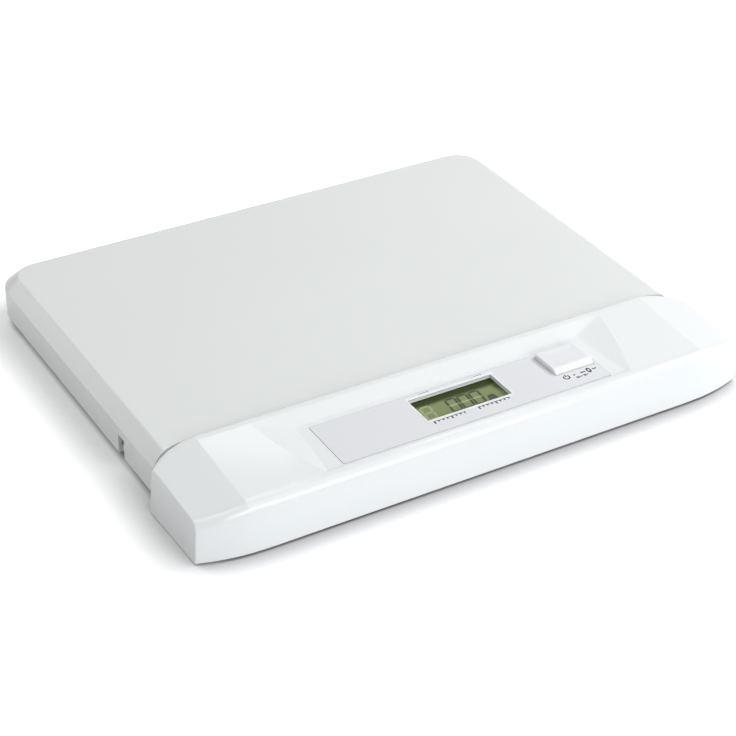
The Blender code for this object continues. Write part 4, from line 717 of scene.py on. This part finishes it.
def makeCover():
    skirtZ, footZ, topZ = coverLow.z, coverHigh.z - cover["bevelDrop"], coverHigh.z
    run, wall, footEdge, frontEdge = [
        cover[name] for name in ("bevelRun", "wall", "footEdge", "frontEdge")]
    shareIn, shareUp = cover["bevelShare"]
    slopeEnd = shareIn / shareUp  # where the straight slope would reach the top
    outer = eased([
        (footEdge, skirtZ, 0.0), (0.0, skirtZ + footEdge, 0.0), (0.0, footZ, cover["edge"]),
        (run * slopeEnd, topZ, cover["topEdge"]), (run * 1.35, topZ, 0.0)], 8)
    inner = [(wall, skirtZ), (wall, footZ - wall / 2), (run + wall / 3, topZ - wall)]
    rings = [coverRing(inset, z, wall) for inset, z in reversed(inner)]
    for inset, z in outer:
        nearTop = max(1.0 - (topZ - z) / frontEdge, 0.0)
        rings.append(coverRing(inset, z, frontEdge * (1.0 - math.sqrt(1.0 - nearTop ** 2))))
    rings.append(coverRing(run * 1.35 + 1 * mm, topZ, frontEdge + 1 * mm))
    bm = bmesh.new()
    loft(bm, rings)

    def bosses(tool):
        for number in range(1, 5):
            bossTool(tool, f"platform_screw_{number}", cover["bossRadius"],
                     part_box("platform_frame")[1].z + housing["gap"], topZ - cover["bossDrop"])

    def notches(tool):
        through, front = cover["through"], seamY + cover["seam"]
        width, height = cover["notch"]
        y = front + cover["notchSetback"]
        for side in (-1, 1):
            xs = sorted((side * (coverHigh.x + through), side * (coverHigh.x - wall - through)))
            box(tool, (xs[0], y - width / 2, skirtZ - through),
                (xs[1], y + width / 2, skirtZ + height))
        width, height = cover["cableNotch"]
        box(tool, (-cover["cableOffset"] - width / 2, front - through, skirtZ - through),
            (-cover["cableOffset"] + width / 2, front + wall + through, skirtZ + height))

    bm = carved(bm, [bosses], [notches])
    newPiece("cover_shell", bm, plastic["satin white platform"], "platform",
             ("platform_cover",), 32)


makeCover()
print("platform cover made")

# Label with its window and key openings, the white window bezel and the plain printed marks
border = openings["windowBorder"]
windowLow = (lcdLow.x + border, lcdLow.y + border)
windowHigh = (lcdHigh.x - border, lcdHigh.y - border)
label = {
    **millimetres(
        corner=1.5, edge=0.05, ink=0.03, bezel=1.5, bezelBack=2.3, bezelRise=0.14, bezelCorner=0.5,
        dash=(7.0, 0.5), dashX=(-19.5, 17.0), dashLift=0.1, tick=(0.95, 2.3), tickPitch=2.9,
        tickX=(-26.5, 3.5), tickDrop=0.9, tickBar=0.4),
    "bezelOutline": [(0.0, 0.0), (0.0, 0.6), (0.2, 1.0), (0.85, 1.0), (0.985, 0.0), (0.0, 0.0)],
    "ticks": 8, "shortTick": 0.6,
}
# Plain symbols in front of the key: a ring with a bar, two dots, a zero between two arrows and
# a small row of rings and bars
symbols = {
    **millimetres(
        size=3.6, stroke=0.85, drop=2.9, ringX=-9.0, dotX=(-3.6, 1.6), dot=(0.35, 0.6), zeroX=6.8,
        arrow=(0.85, 0.55), arrowBar=0.5, rowDrop=3.1, rowRing=0.65, rowBar=1.1,
        row=((-3.0, 2.2), (2.0, 1.4))),
    "ringArc": (125, 290), "ringBar": (0.1, 0.72), "zeroShare": 0.3, "zeroStretch": 1.65,
    "arrowReach": (0.62, 1.5), "rowStroke": 0.75,
}


def inked(bm, outline):
    prism(bm, outline, labelHigh.z, labelHigh.z + label["ink"])


def closedRing(bm, rings):
    # The last ring lies on the first, and the two are welded
    loft(bm, rings, capped=False)
    bmesh.ops.remove_doubles(bm, verts=bm.verts, dist=0.0005 * mm)


def ringMark(bm, x, y, radius, stroke, arc=(0, 360), stretch=1.0):
    steps = 28
    start, turn = [math.radians(angle) for angle in arc]
    outer, inner = [], []
    for i in range(steps + 1):
        angle = start + turn * i / steps
        for points, distance in ((outer, radius + stroke / 2), (inner, radius - stroke / 2)):
            points.append((x + distance * math.cos(angle),
                           y + distance * stretch * math.sin(angle)))
    if arc[1] < 360:
        inked(bm, outer + inner[::-1])
        return
    foot, top = labelHigh.z, labelHigh.z + label["ink"]
    closedRing(bm, [[(px, py, z) for px, py in points[:-1]] for points, z in (
        (inner, foot), (outer, foot), (outer, top), (inner, top), (inner, foot))])


def barMark(bm, start, end, stroke):
    a, b = Vector(start), Vector(end)
    side = Vector((a.y - b.y, b.x - a.x)).normalized() * stroke / 2
    inked(bm, [a + side, a - side, b - side, b + side])


def makeFilm():
    film, edge = bmesh.new(), label["edge"]
    profile = ((0.0, labelLow.z), (0.0, labelHigh.z - edge), (edge, labelHigh.z))
    loft(film, [rectangle(labelLow, labelHigh, inset, label["corner"], z, 8)
                for inset, z in profile])
    film = carved(film, [], [windowBlock, keyBlock])
    newPiece("label_film", film, plastic["grey label film"], "base",
             ("control_label",), 30)


def makeBezel():
    low, high = windowLow, windowHigh
    rings = []
    for share, rise in label["bezelOutline"]:
        grown, back = label["bezel"] * (1.0 - share), label["bezelBack"] * (1.0 - share)
        rings.append(rectangle((low[0] - grown, low[1] - grown), (high[0] + grown, high[1] + back),
                               0.0, label["bezelCorner"] + grown * 0.5,
                               labelHigh.z + label["bezelRise"] * rise, 5))
    bezel = bmesh.new()
    closedRing(bezel, rings)
    newPiece("window_bezel", bezel, plastic["gloss white housing"], "base", (), 60)


def addScale(marks):
    # Two dashes behind the window and two rows of ticks in front of it
    length, stroke = label["dash"]
    y = windowHigh[1] + label["bezelBack"] + label["dashLift"]
    for x in label["dashX"]:
        inked(marks, [(x, y), (x + length, y + stroke * 0.2), (x + length, y + stroke),
                      (x, y + stroke * 0.5)])
    wide, tall = label["tick"]
    y = windowLow[1] - label["bezel"] - label["tickDrop"]
    for start in label["tickX"]:
        for number in range(label["ticks"]):
            x = start + number * label["tickPitch"]
            foot = y - tall * (1.0 if number % 4 == 0 else label["shortTick"])
            inked(marks, [(x, y), (x, foot), (x + wide, foot), (x + wide, y)])
        barMark(marks, (start, y), (x + wide, y), label["tickBar"])


def addSymbols(marks):
    size, thin = symbols["size"], symbols["stroke"]
    middle, y = (keyLow.x + keyHigh.x) / 2, keyLow.y - symbols["drop"]
    x = middle + symbols["ringX"]
    ringMark(marks, x, y, size / 2, thin, symbols["ringArc"])
    near, far = symbols["ringBar"]
    barMark(marks, (x, y + size * near), (x, y + size * far), thin)
    for dotX in symbols["dotX"]:
        ringMark(marks, middle + dotX, y, *symbols["dot"])
    x = middle + symbols["zeroX"]
    ringMark(marks, x, y, size * symbols["zeroShare"], thin, stretch=symbols["zeroStretch"])
    length, half = symbols["arrow"]
    near, far = symbols["arrowReach"]
    for way in (-1, 1):
        tip = x + way * size * near
        barMark(marks, (tip + way * symbols["arrowBar"], y), (x + way * size * far, y), thin)
        inked(marks, [(tip, y), (tip + way * length, y + half), (tip + way * length, y - half)])
    y -= symbols["rowDrop"]
    for rowX, wide in symbols["row"]:
        x = middle + rowX
        ringMark(marks, x, y, symbols["rowRing"], thin * symbols["rowStroke"])
        barMark(marks, (x + symbols["rowBar"], y), (x + symbols["rowBar"] + wide, y),
                thin * symbols["rowStroke"])


def makeLabel():
    makeFilm()
    makeBezel()
    marks = bmesh.new()
    addScale(marks)
    addSymbols(marks)
    newPiece("printed_marks", marks, plastic["screen print ink"], "base", (), 60)


makeLabel()
print("label made")

# Display: the cell, dark figures that are on and faint ones that are off
display = {
    **millimetres(
        digit=(6.1, 12.3), pitch=8.0, stroke=1.6, gap=0.16, firstX=-8.6, ghostX=-25.6, footY=3.4,
        figure=0.02, point=(-1.15, 0.1), pointRadius=0.55, weightX=3.6, weightHalf=3.3,
        weightY=(-0.6, 5.0), corner=0.4, edge=0.12),
    "digits": 3, "slant": 0.09, "weightTaper": 0.62,
}
# The dark band along the back of the cell and its dark right corner are painted shade from the
# window's walls
displayGreen = liquidCrystal("reflective display cell", {
    **millimetres(cloud=14, fibre=1.2, waver=1.2, bandStart=-112.6, bandEnd=-108.4,
                  cornerStart=-46.0, cornerEnd=-39.5),
    "colour": tone(136, 147, 102), "mottle": tone(126, 137, 92), "dark": tone(46, 57, 10),
    "stretch": (1.0, 6.0, 1.0), "shadeCornerLean": 0.6, "shadeCornerDepth": 0.7, "roughness": 0.45,
    "spread": 0.06, "gloss": 0.15, "coat": 0.08, "coatRoughness": 0.05})
# Ends of each bar of a digit, as shares of its width and height
digitBars = {"a": ((0, 1), (1, 1)), "b": ((1, 1), (1, 0.5)), "c": ((1, 0.5), (1, 0)),
             "d": ((0, 0), (1, 0)), "e": ((0, 0), (0, 0.5)), "f": ((0, 0.5), (0, 1)),
             "g": ((0, 0.5), (1, 0.5))}
zero = "abcdef"


def figure(bm, outline):
    prism(bm, outline, lcdHigh.z, lcdHigh.z + display["figure"])


def barOutline(start, end):
    # A bar with pointed ends, clear of its neighbours by the gap
    a, b = Vector(start), Vector(end)
    way = (b - a).normalized()
    side = Vector((-way.y, way.x)) * display["stroke"] / 2
    a, b = a + way * display["gap"], b - way * display["gap"]
    inA, inB = a + way * display["stroke"] / 2, b - way * display["stroke"] / 2
    return [a, inA + side, inB + side, b, inB - side, inA - side]


def addDigit(lit, faint, x, y, letters):
    width, height = display["digit"]
    for name, ends in digitBars.items():
        outline = barOutline(*[(across * width, up * height) for across, up in ends])
        figure(lit if name in letters else faint,
               [(x + p.x + p.y * display["slant"], y + p.y) for p in outline])


def makeDisplay():
    cell = bmesh.new()
    slab(cell, lcdLow, lcdHigh, display["corner"], display["edge"], 3)
    newPiece("display_cell", cell, displayGreen, "base", ("lcd_module",), 40)
    lit, faint = bmesh.new(), bmesh.new()
    footY = lcdLow.y + openings["windowBorder"] + display["footY"]
    addDigit(lit, faint, display["ghostX"], footY, "")
    for index in range(display["digits"]):
        addDigit(lit, faint, display["firstX"] + index * display["pitch"], footY, zero)
    (aside, lift), radius = display["point"], display["pointRadius"]
    x, y = display["firstX"] + display["pitch"] + aside, footY + lift
    turns = [math.tau * i / 10 for i in range(10)]
    figure(lit, [(x + radius * math.cos(turn), y + radius * math.sin(turn)) for turn in turns])
    x = display["firstX"] + display["digits"] * display["pitch"] + display["weightX"]
    half, narrow = display["weightHalf"], display["weightHalf"] * display["weightTaper"]
    low, high = [footY + y for y in display["weightY"]]
    figure(lit, [(x - half, low), (x + half, low), (x + narrow, high), (x - narrow, high)])
    for bm, state in ((lit, "on"), (faint, "off")):
        newPiece("figures_" + state, bm, plastic["display figure, " + state], "base",
                 (), 60)


makeDisplay()
print("display made")

# Tare key: cap, flange and a fine step line round its wall
key = {
    **millimetres(flangeHeight=1.4, corner=0.9, edge=0.55, grooveZ=0.45, groove=0.22,
                  grooveEdge=0.04, rim=1.8, dish=0.25, flat=0.4, frontRun=3.3, under=8),
    "dishShare": 0.6,
}


def makeKey():
    flange, grooveZ, groove = openings["keyFlange"], panelZ + key["grooveZ"], key["groove"]
    step, fine, dishZ = keyLow.z + key["flangeHeight"], key["grooveEdge"], keyHigh.z - key["dish"]
    reach = (keyHigh.y - keyLow.y - key["frontRun"]) / 2 - flange - key["flat"]
    profile = eased([
        (key["under"], keyLow.z, 0.0), (0.0, keyLow.z, 0.15 * mm), (0.0, step, 0.15 * mm),
        (flange, step, 0.1 * mm), (flange, grooveZ - groove, fine),
        (flange + groove, grooveZ - groove * 0.5, fine),
        (flange + groove, grooveZ + groove * 0.5, fine), (flange, grooveZ + groove, fine),
        (flange, keyHigh.z, key["edge"]), (flange + key["rim"], keyHigh.z, 0.5 * mm),
        (flange + reach * key["dishShare"], dishZ, 1.5 * mm), (flange + reach, dishZ, 0.0)], 4)
    bm = bmesh.new()
    rings = []
    for inset, z in profile:
        corner = key["corner"] + min(inset, flange)
        leaned = key["frontRun"] * shareBetween(z, grooveZ + groove, keyHigh.z)
        rings.append(rectangle((keyLow.x, keyLow.y + leaned), keyHigh, inset, corner, z, 6))
    loft(bm, rings)
    newPiece("tare_key_cap", bm, plastic["white key"], "key", ("tare_key",), 30)


makeKey()
print("key made")

# Feet: soft pads with a rounded rim and two grooves round their underside
foot = {**millimetres(groove=0.35, grooveX=(0.4, 1.0, 1.4), rim=0.6), "grooveShares": (0.30, 0.58)}


def makeFeet():
    for name in ("foot_front_left", "foot_front_right", "foot_rear_left", "foot_rear_right"):
        low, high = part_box(name)
        radius, height = (high.x - low.x) / 2, high.z - low.z
        profile = [(0.0, 0.0, 0.0), (radius * foot["grooveShares"][0], 0.0, 0.1 * mm)]
        depths = (foot["groove"], foot["groove"], 0.0)
        for share in foot["grooveShares"]:
            profile += [(radius * share + across, depth, 0.1 * mm)
                        for across, depth in zip(foot["grooveX"], depths)]
        profile += [(radius - 0.5 * mm, 0.0, foot["rim"]), (radius, height * 0.55, foot["rim"]),
                    (radius, height, 0.2 * mm), (0.0, height, 0.0)]
        bm = bmesh.new()
        turned(bm, eased(profile, 3), 48)
        newPiece("rubber_" + name, bm, plastic["black rubber"], "base", (name,), 50,
                 (*middleOf(name)[:2], low.z))


makeFeet()

# Screws: pan heads with a cross recess and a rolled thread
screws = {**millimetres(pitch=0.8, threadDepth=0.22, tip=0.4), "recessShare": 0.62,
          "recessWidthShare": 0.2}
# Each kind's count, head height and shank radius in millimetres
screwKinds = {"housing_screw": (6, 1.9, 1.4), "board_screw": (4, 1.3, 1.0),
              "load_cell_screw": (2, 2.2, 2.0), "frame_screw": (2, 1.9, 2.0),
              "platform_screw": (4, 2.2, 2.0)}


def screwMesh(headRadius, headHeight, shankRadius, length):
    profile = [(0.0, headHeight, 0.0), (headRadius * 0.7, headHeight, 0.0),
               (headRadius, headHeight * 0.55, headHeight * 0.5), (headRadius, 0.0, 0.1 * mm),
               (shankRadius, 0.0, 0.0)]
    core, pitch = shankRadius - screws["threadDepth"], screws["pitch"]
    for i in range(int((length - pitch) / pitch)):
        level = -pitch * 0.4 - i * pitch
        profile += [(core, level, 0.0), (shankRadius, level - pitch * 0.5, 0.0),
                    (core, level - pitch, 0.0)]
    profile += [(core, -length + screws["tip"], 0.0), (core * 0.6, -length, 0.0),
                (0.0, -length, 0.0)]
    bm = bmesh.new()
    turned(bm, eased(profile, 4), 32)
    long, wide = headRadius * screws["recessShare"], headRadius * screws["recessWidthShare"]
    return carved(bm, [], [lambda tool: crossArm(tool, long, wide, headHeight),
                           lambda tool: crossArm(tool, wide, long, headHeight)])


def crossArm(tool, halfX, halfY, headHeight):
    corners = ((-1, -1), (1, -1), (1, 1), (-1, 1))
    loft(tool, [[(across * halfX * taper, along * halfY * taper, z) for across, along in corners]
                for taper, z in ((0.6, headHeight * 0.3), (1.0, headHeight * 1.2))])


def halfTurn(bm, axis):
    bmesh.ops.rotate(bm, cent=(0, 0, 0), matrix=Matrix.Rotation(math.pi, 3, axis), verts=bm.verts)


def makeScrews():
    for kind, (count, *sizes) in screwKinds.items():
        headHeight, shankRadius = [size * mm for size in sizes]
        for number in range(1, count + 1):
            node = f"{kind}_{number}"
            low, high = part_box(node)
            source = frame["nodes"][node]
            headRadius = (high.x - low.x) / 2
            middle = (low + high) / 2
            rim = [vert.co.z for vert in source.data.vertices
                   if math.hypot(vert.co.x - middle.x, vert.co.y - middle.y) > headRadius * 0.95]
            headUp = sum(rim) / len(rim) > middle.z  # the widest points are the head's
            seat = high.z - headHeight if headUp else low.z + headHeight
            bm = screwMesh(headRadius, headHeight, shankRadius, high.z - low.z - headHeight)
            if not headUp:
                halfTurn(bm, "X")
            newPiece("cross_" + node, bm, metal["zinc plated steel"], source["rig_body"],
                     (node,), 40, (middle.x, middle.y, seat))


makeScrews()
print("feet and screws made")

# Dry cells: crimped can, plain film sleeve and a bright terminal at each end
cells = {**millimetres(crimp=0.35, nubRadius=2.7, nub=1.0), "sides": 56, "sleeveShare": 0.8}
sleeveFilm = cellSleeve("dry cell sleeve", {
    **millimetres(bandStart=13.0, bandEnd=13.3, grain=2.0, depth=0.01),
    "colour": tone(52, 78, 112), "cap": tone(196, 150, 96), "metal": 0.85,
    "stretch": (1.0, 5.0, 1.0), "roughness": 0.3, "spread": 0.12})


def makeBatteries():
    for number in range(1, 5):
        node = f"battery_{number}"
        low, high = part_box(node)
        x, _, z = middleOf(node)
        radius, length = (high.x - low.x) / 2, high.y - low.y - cells["nub"]
        crimp, nub = cells["crimp"], cells["nubRadius"]
        profile = eased([
            (0.0, 0.0, 0.0), (radius * 0.55, 0.0, 0.2 * mm), (radius * 0.62, 0.25 * mm, 0.2 * mm),
            (radius * 0.78, 0.25 * mm, 0.2 * mm), (radius * 0.84, 0.0, 0.2 * mm),
            (radius - crimp, 0.0, 0.3 * mm), (radius, 0.9 * mm, 0.3 * mm),
            (radius, length - 1.6 * mm, 0.3 * mm), (radius - crimp, length - 1.2 * mm, 0.2 * mm),
            (radius, length - 0.8 * mm, 0.2 * mm), (radius - crimp, length, 0.4 * mm),
            (radius * 0.55, length, 0.2 * mm), (radius * 0.5, length - 0.3 * mm, 0.2 * mm),
            (nub, length - 0.3 * mm, 0.15 * mm), (nub, length + cells["nub"], 0.4 * mm),
            (0.0, length + cells["nub"], 0.0)], 4)
        bm = bmesh.new()
        turned(bm, [(r, h - length / 2) for r, h in profile], cells["sides"], axis="Y")
        for face in bm.faces:
            middle = face.calc_center_median()
            reach = math.hypot(middle.x, middle.z)
            face.material_index = int(reach < radius * cells["sleeveShare"])
        towardBack = number % 2 == 1  # the cells lie head to tail
        if not towardBack:
            halfTurn(bm, "Z")
        centreY = low.y + length / 2 if towardBack else high.y - length / 2
        newPiece(f"dry_cell_{number}", bm, [sleeveFilm, metal["nickel plate"]], "base",
                 (node,), 40, (x, centreY, z))


makeBatteries()

# Pieces that keep the frame's shape, with eased edges and their own finish; angles in degrees
easing = {**millimetres(weld=0.001, keyTravel=1.2), "flat": 0.5, "corner": 40, "clamped": 0.3}
bending = ("load_cell", "gauge_seal")
# Finish, slot, and each piece's edge radius in millimetres
innerPieces = [
    (plastic["plain white tray"], "tray_white",
     {"base_tray": 0.25, "battery_door": 0.2, "lcd_frame": 0.15, "cable_socket": 0.2}),
    (boardGreen, "board_green", {"circuit_board": 0.08}),
    (plastic["black chip package"], "chip_black", {"controller_chip": 0.15}),
    (metal["machined aluminium"], "load_cell_aluminium", {"load_cell": 0.25}),
    (plastic["poured white silicone"], "gauge_silicone", {"gauge_seal": 0.5}),
    (galvanisedSteel, "galvanised_plate", {"platform_frame": 0.2}),
    (metal["zinc plated steel"], "zinc_steel", {"load_cell_shim": 0.2, "load_cell_spacer": 0.2}),
    (plastic["grey silicone"], "silicone_grey",
     {"lcd_strip_front": 0.15, "lcd_strip_back": 0.15, "key_dome": 0.15}),
    (metal["nickel plate"], "nickel_plate", {f"battery_contact_{n}": 0.0 for n in range(1, 6)}),
    (metal["turned brass"], "brass", {f"overload_stop_{n}": 0.15 for n in range(1, 5)}),
    (plastic["grey cable jacket"], "cable_grey", {"load_cell_cable": 0.0}),
    (plastic["red lead"], "lead_red", {"battery_lead_1": 0.0}),
    (plastic["black lead"], "lead_black", {"battery_lead_2": 0.0}),
]


def softened(node, finish, radius):
    source = frame["nodes"][node]
    bm = bmesh.new()
    bm.from_mesh(source.data)
    bmesh.ops.remove_doubles(bm, verts=bm.verts, dist=easing["weld"])
    flat, sharp = math.radians(easing["flat"]), math.radians(easing["corner"])
    bmesh.ops.dissolve_limit(bm, angle_limit=flat, verts=bm.verts, edges=bm.edges)
    if radius:
        edges = [edge for edge in bm.edges
                 if edge.is_manifold and edge.calc_face_angle(0.0) > sharp]
        bmesh.ops.bevel(bm, geom=edges, offset=radius, segments=3 if node == "gauge_seal" else 2,
                        profile=0.5, affect="EDGES", clamp_overlap=True)
    body = None if node in bending else source["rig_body"]
    return newPiece("fine_" + node, bm, finish, body, (node,))


def makeInnerPieces():
    pieces = {node: softened(node, finish, radius * mm)
              for finish, slot, radii in innerPieces for node, radius in radii.items()}
    for node in bending:  # these keep no rigid body and their place is baked into the mesh; the real bar bends between its clamped ends
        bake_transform(pieces[node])
    domeLow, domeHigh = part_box("key_dome")
    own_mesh(pieces["key_dome"], "tare_key_slide", axis=(0, 0, 1), anchor=domeLow,
              keep=1.0 - easing["keyTravel"] / (domeHigh.z - domeLow.z))


makeInnerPieces()
print("inner pieces made")

# Studio: pale floor with a painted contact shadow near the object, broad soft lamps, small ones for
# the sheen on the gloss, and a white surround
studio = {"floor": 3.0, "floorColour": tone(238, 238, 239), "lift": 0.60, "surround": 0.20,
          "contact": 30 * mm, "paintedShadowDepth": 1.5}
lamps = {
    "right": {"place": (1.10, -0.10, 0.95), "size": (0.9, 0.6), "power": 12.5},
    "front": {"place": (0.20, -1.45, 0.55), "size": (1.3, 0.8), "power": 12.2,
              "colour": (0.955, 0.98, 1.0)},
    "left": {"place": (-0.62, 0.10, 1.27), "size": (0.9, 0.9), "power": 4.6},
    "under": {"place": (0.0, 0.0, -1.6), "size": (0.6, 0.6), "power": 8.3},
    "sheenWing": {"place": (0.84, 1.60, 1.77), "aim": (-0.14, -0.09, 0.03), "size": (0.20, 0.14),
                  "power": 0.18},
    "sheenRidge": {"place": (1.32, 1.60, 1.84), "aim": (-0.11, -0.11, 0.03), "size": (0.30, 0.20),
                   "power": 0.45},
    "sheenLeft": {"place": (-0.94, 1.47, 0.82), "aim": (-0.17, 0.05, 0.0), "size": (0.35, 0.25),
                  "power": 3.5},
}


def seenRays(tree):
    # 1 where the camera sees the surface, straight or through gloss or glass
    outputs = tree.node("ShaderNodeLightPath").socket.node.outputs
    direct, glossy, through = [Wire(tree, outputs[f"Is {kind} Ray"])
                               for kind in ("Camera", "Glossy", "Transmission")]
    return tree.math("MAXIMUM", tree.math("MAXIMUM", direct, glossy), through)


def makeFloor():
    bm = bmesh.new()
    bmesh.ops.create_grid(bm, x_segments=2, y_segments=2, size=studio["floor"] / 2)
    floor = meshObject(bm, "floor")
    tree, _ = newFinish("pale floor")
    # Painted contact shadow: near the object, ambient occlusion darkens the floor's colour and lift
    # as the camera sees them; the lamps' own shadows on it are real
    near = tree.node("ShaderNodeAmbientOcclusion", {"samples": 16},
                     {"Distance": studio["contact"]}, output=1)
    seen = seenRays(tree)
    clear = tree.math("POWER", near, studio["paintedShadowDepth"])
    matte = tree.node("ShaderNodeBsdfDiffuse", None, {
        "Color": tree.mix(1.0 - seen * (1.0 - clear), (0, 0, 0, 1), studio["floorColour"])})
    lift = tree.node("ShaderNodeEmission", None, {"Strength": studio["lift"] * clear * seen})
    both = tree.node("ShaderNodeAddShader", None, {0: matte, 1: lift})
    # Clear from below and for the lamp under it, so that the underside can be seen
    fromBelow = tree.node("ShaderNodeNewGeometry", output=6)  # Backfacing
    toLamp = tree.node("ShaderNodeLightPath", output=1)  # Is Shadow Ray
    clearBelow = tree.node("ShaderNodeMixShader", None, {
        0: tree.math("MAXIMUM", fromBelow, toLamp), 1: both,
        2: tree.node("ShaderNodeBsdfTransparent")})
    tree.node("ShaderNodeOutputMaterial", None, {"Surface": clearBelow})
    floor.data.materials.append(tree.owner)


def makeSurround():
    world = bpy.data.worlds.new("surround")
    bpy.context.scene.world = world
    tree = ShaderTree(world)
    strength = studio["surround"] + (1.0 - studio["surround"]) * seenRays(tree)
    shade = tree.node("ShaderNodeBackground", None, {"Color": (1, 1, 1, 1), "Strength": strength})
    tree.node("ShaderNodeOutputWorld", None, {"Surface": shade})


def makeLamp(name, lamp):
    data = bpy.data.lights.new(name, "AREA")
    data.shape = "RECTANGLE"
    data.size, data.size_y = lamp["size"]
    data.energy = lamp["power"]
    data.color = lamp.get("colour", (1.0, 1.0, 1.0))
    light = inScene(name, data)
    light.location = lamp["place"]
    way = Vector(lamp.get("aim", (0.0, 0.0, 0.0))) - Vector(lamp["place"])
    light.rotation_euler = way.to_track_quat("-Z", "Y").to_euler()
    light.visible_camera = False


bpy.context.scene.view_settings.view_transform = "Standard"
makeFloor()
makeSurround()
for name, lamp in lamps.items():
    makeLamp(name, lamp)
print("studio made")
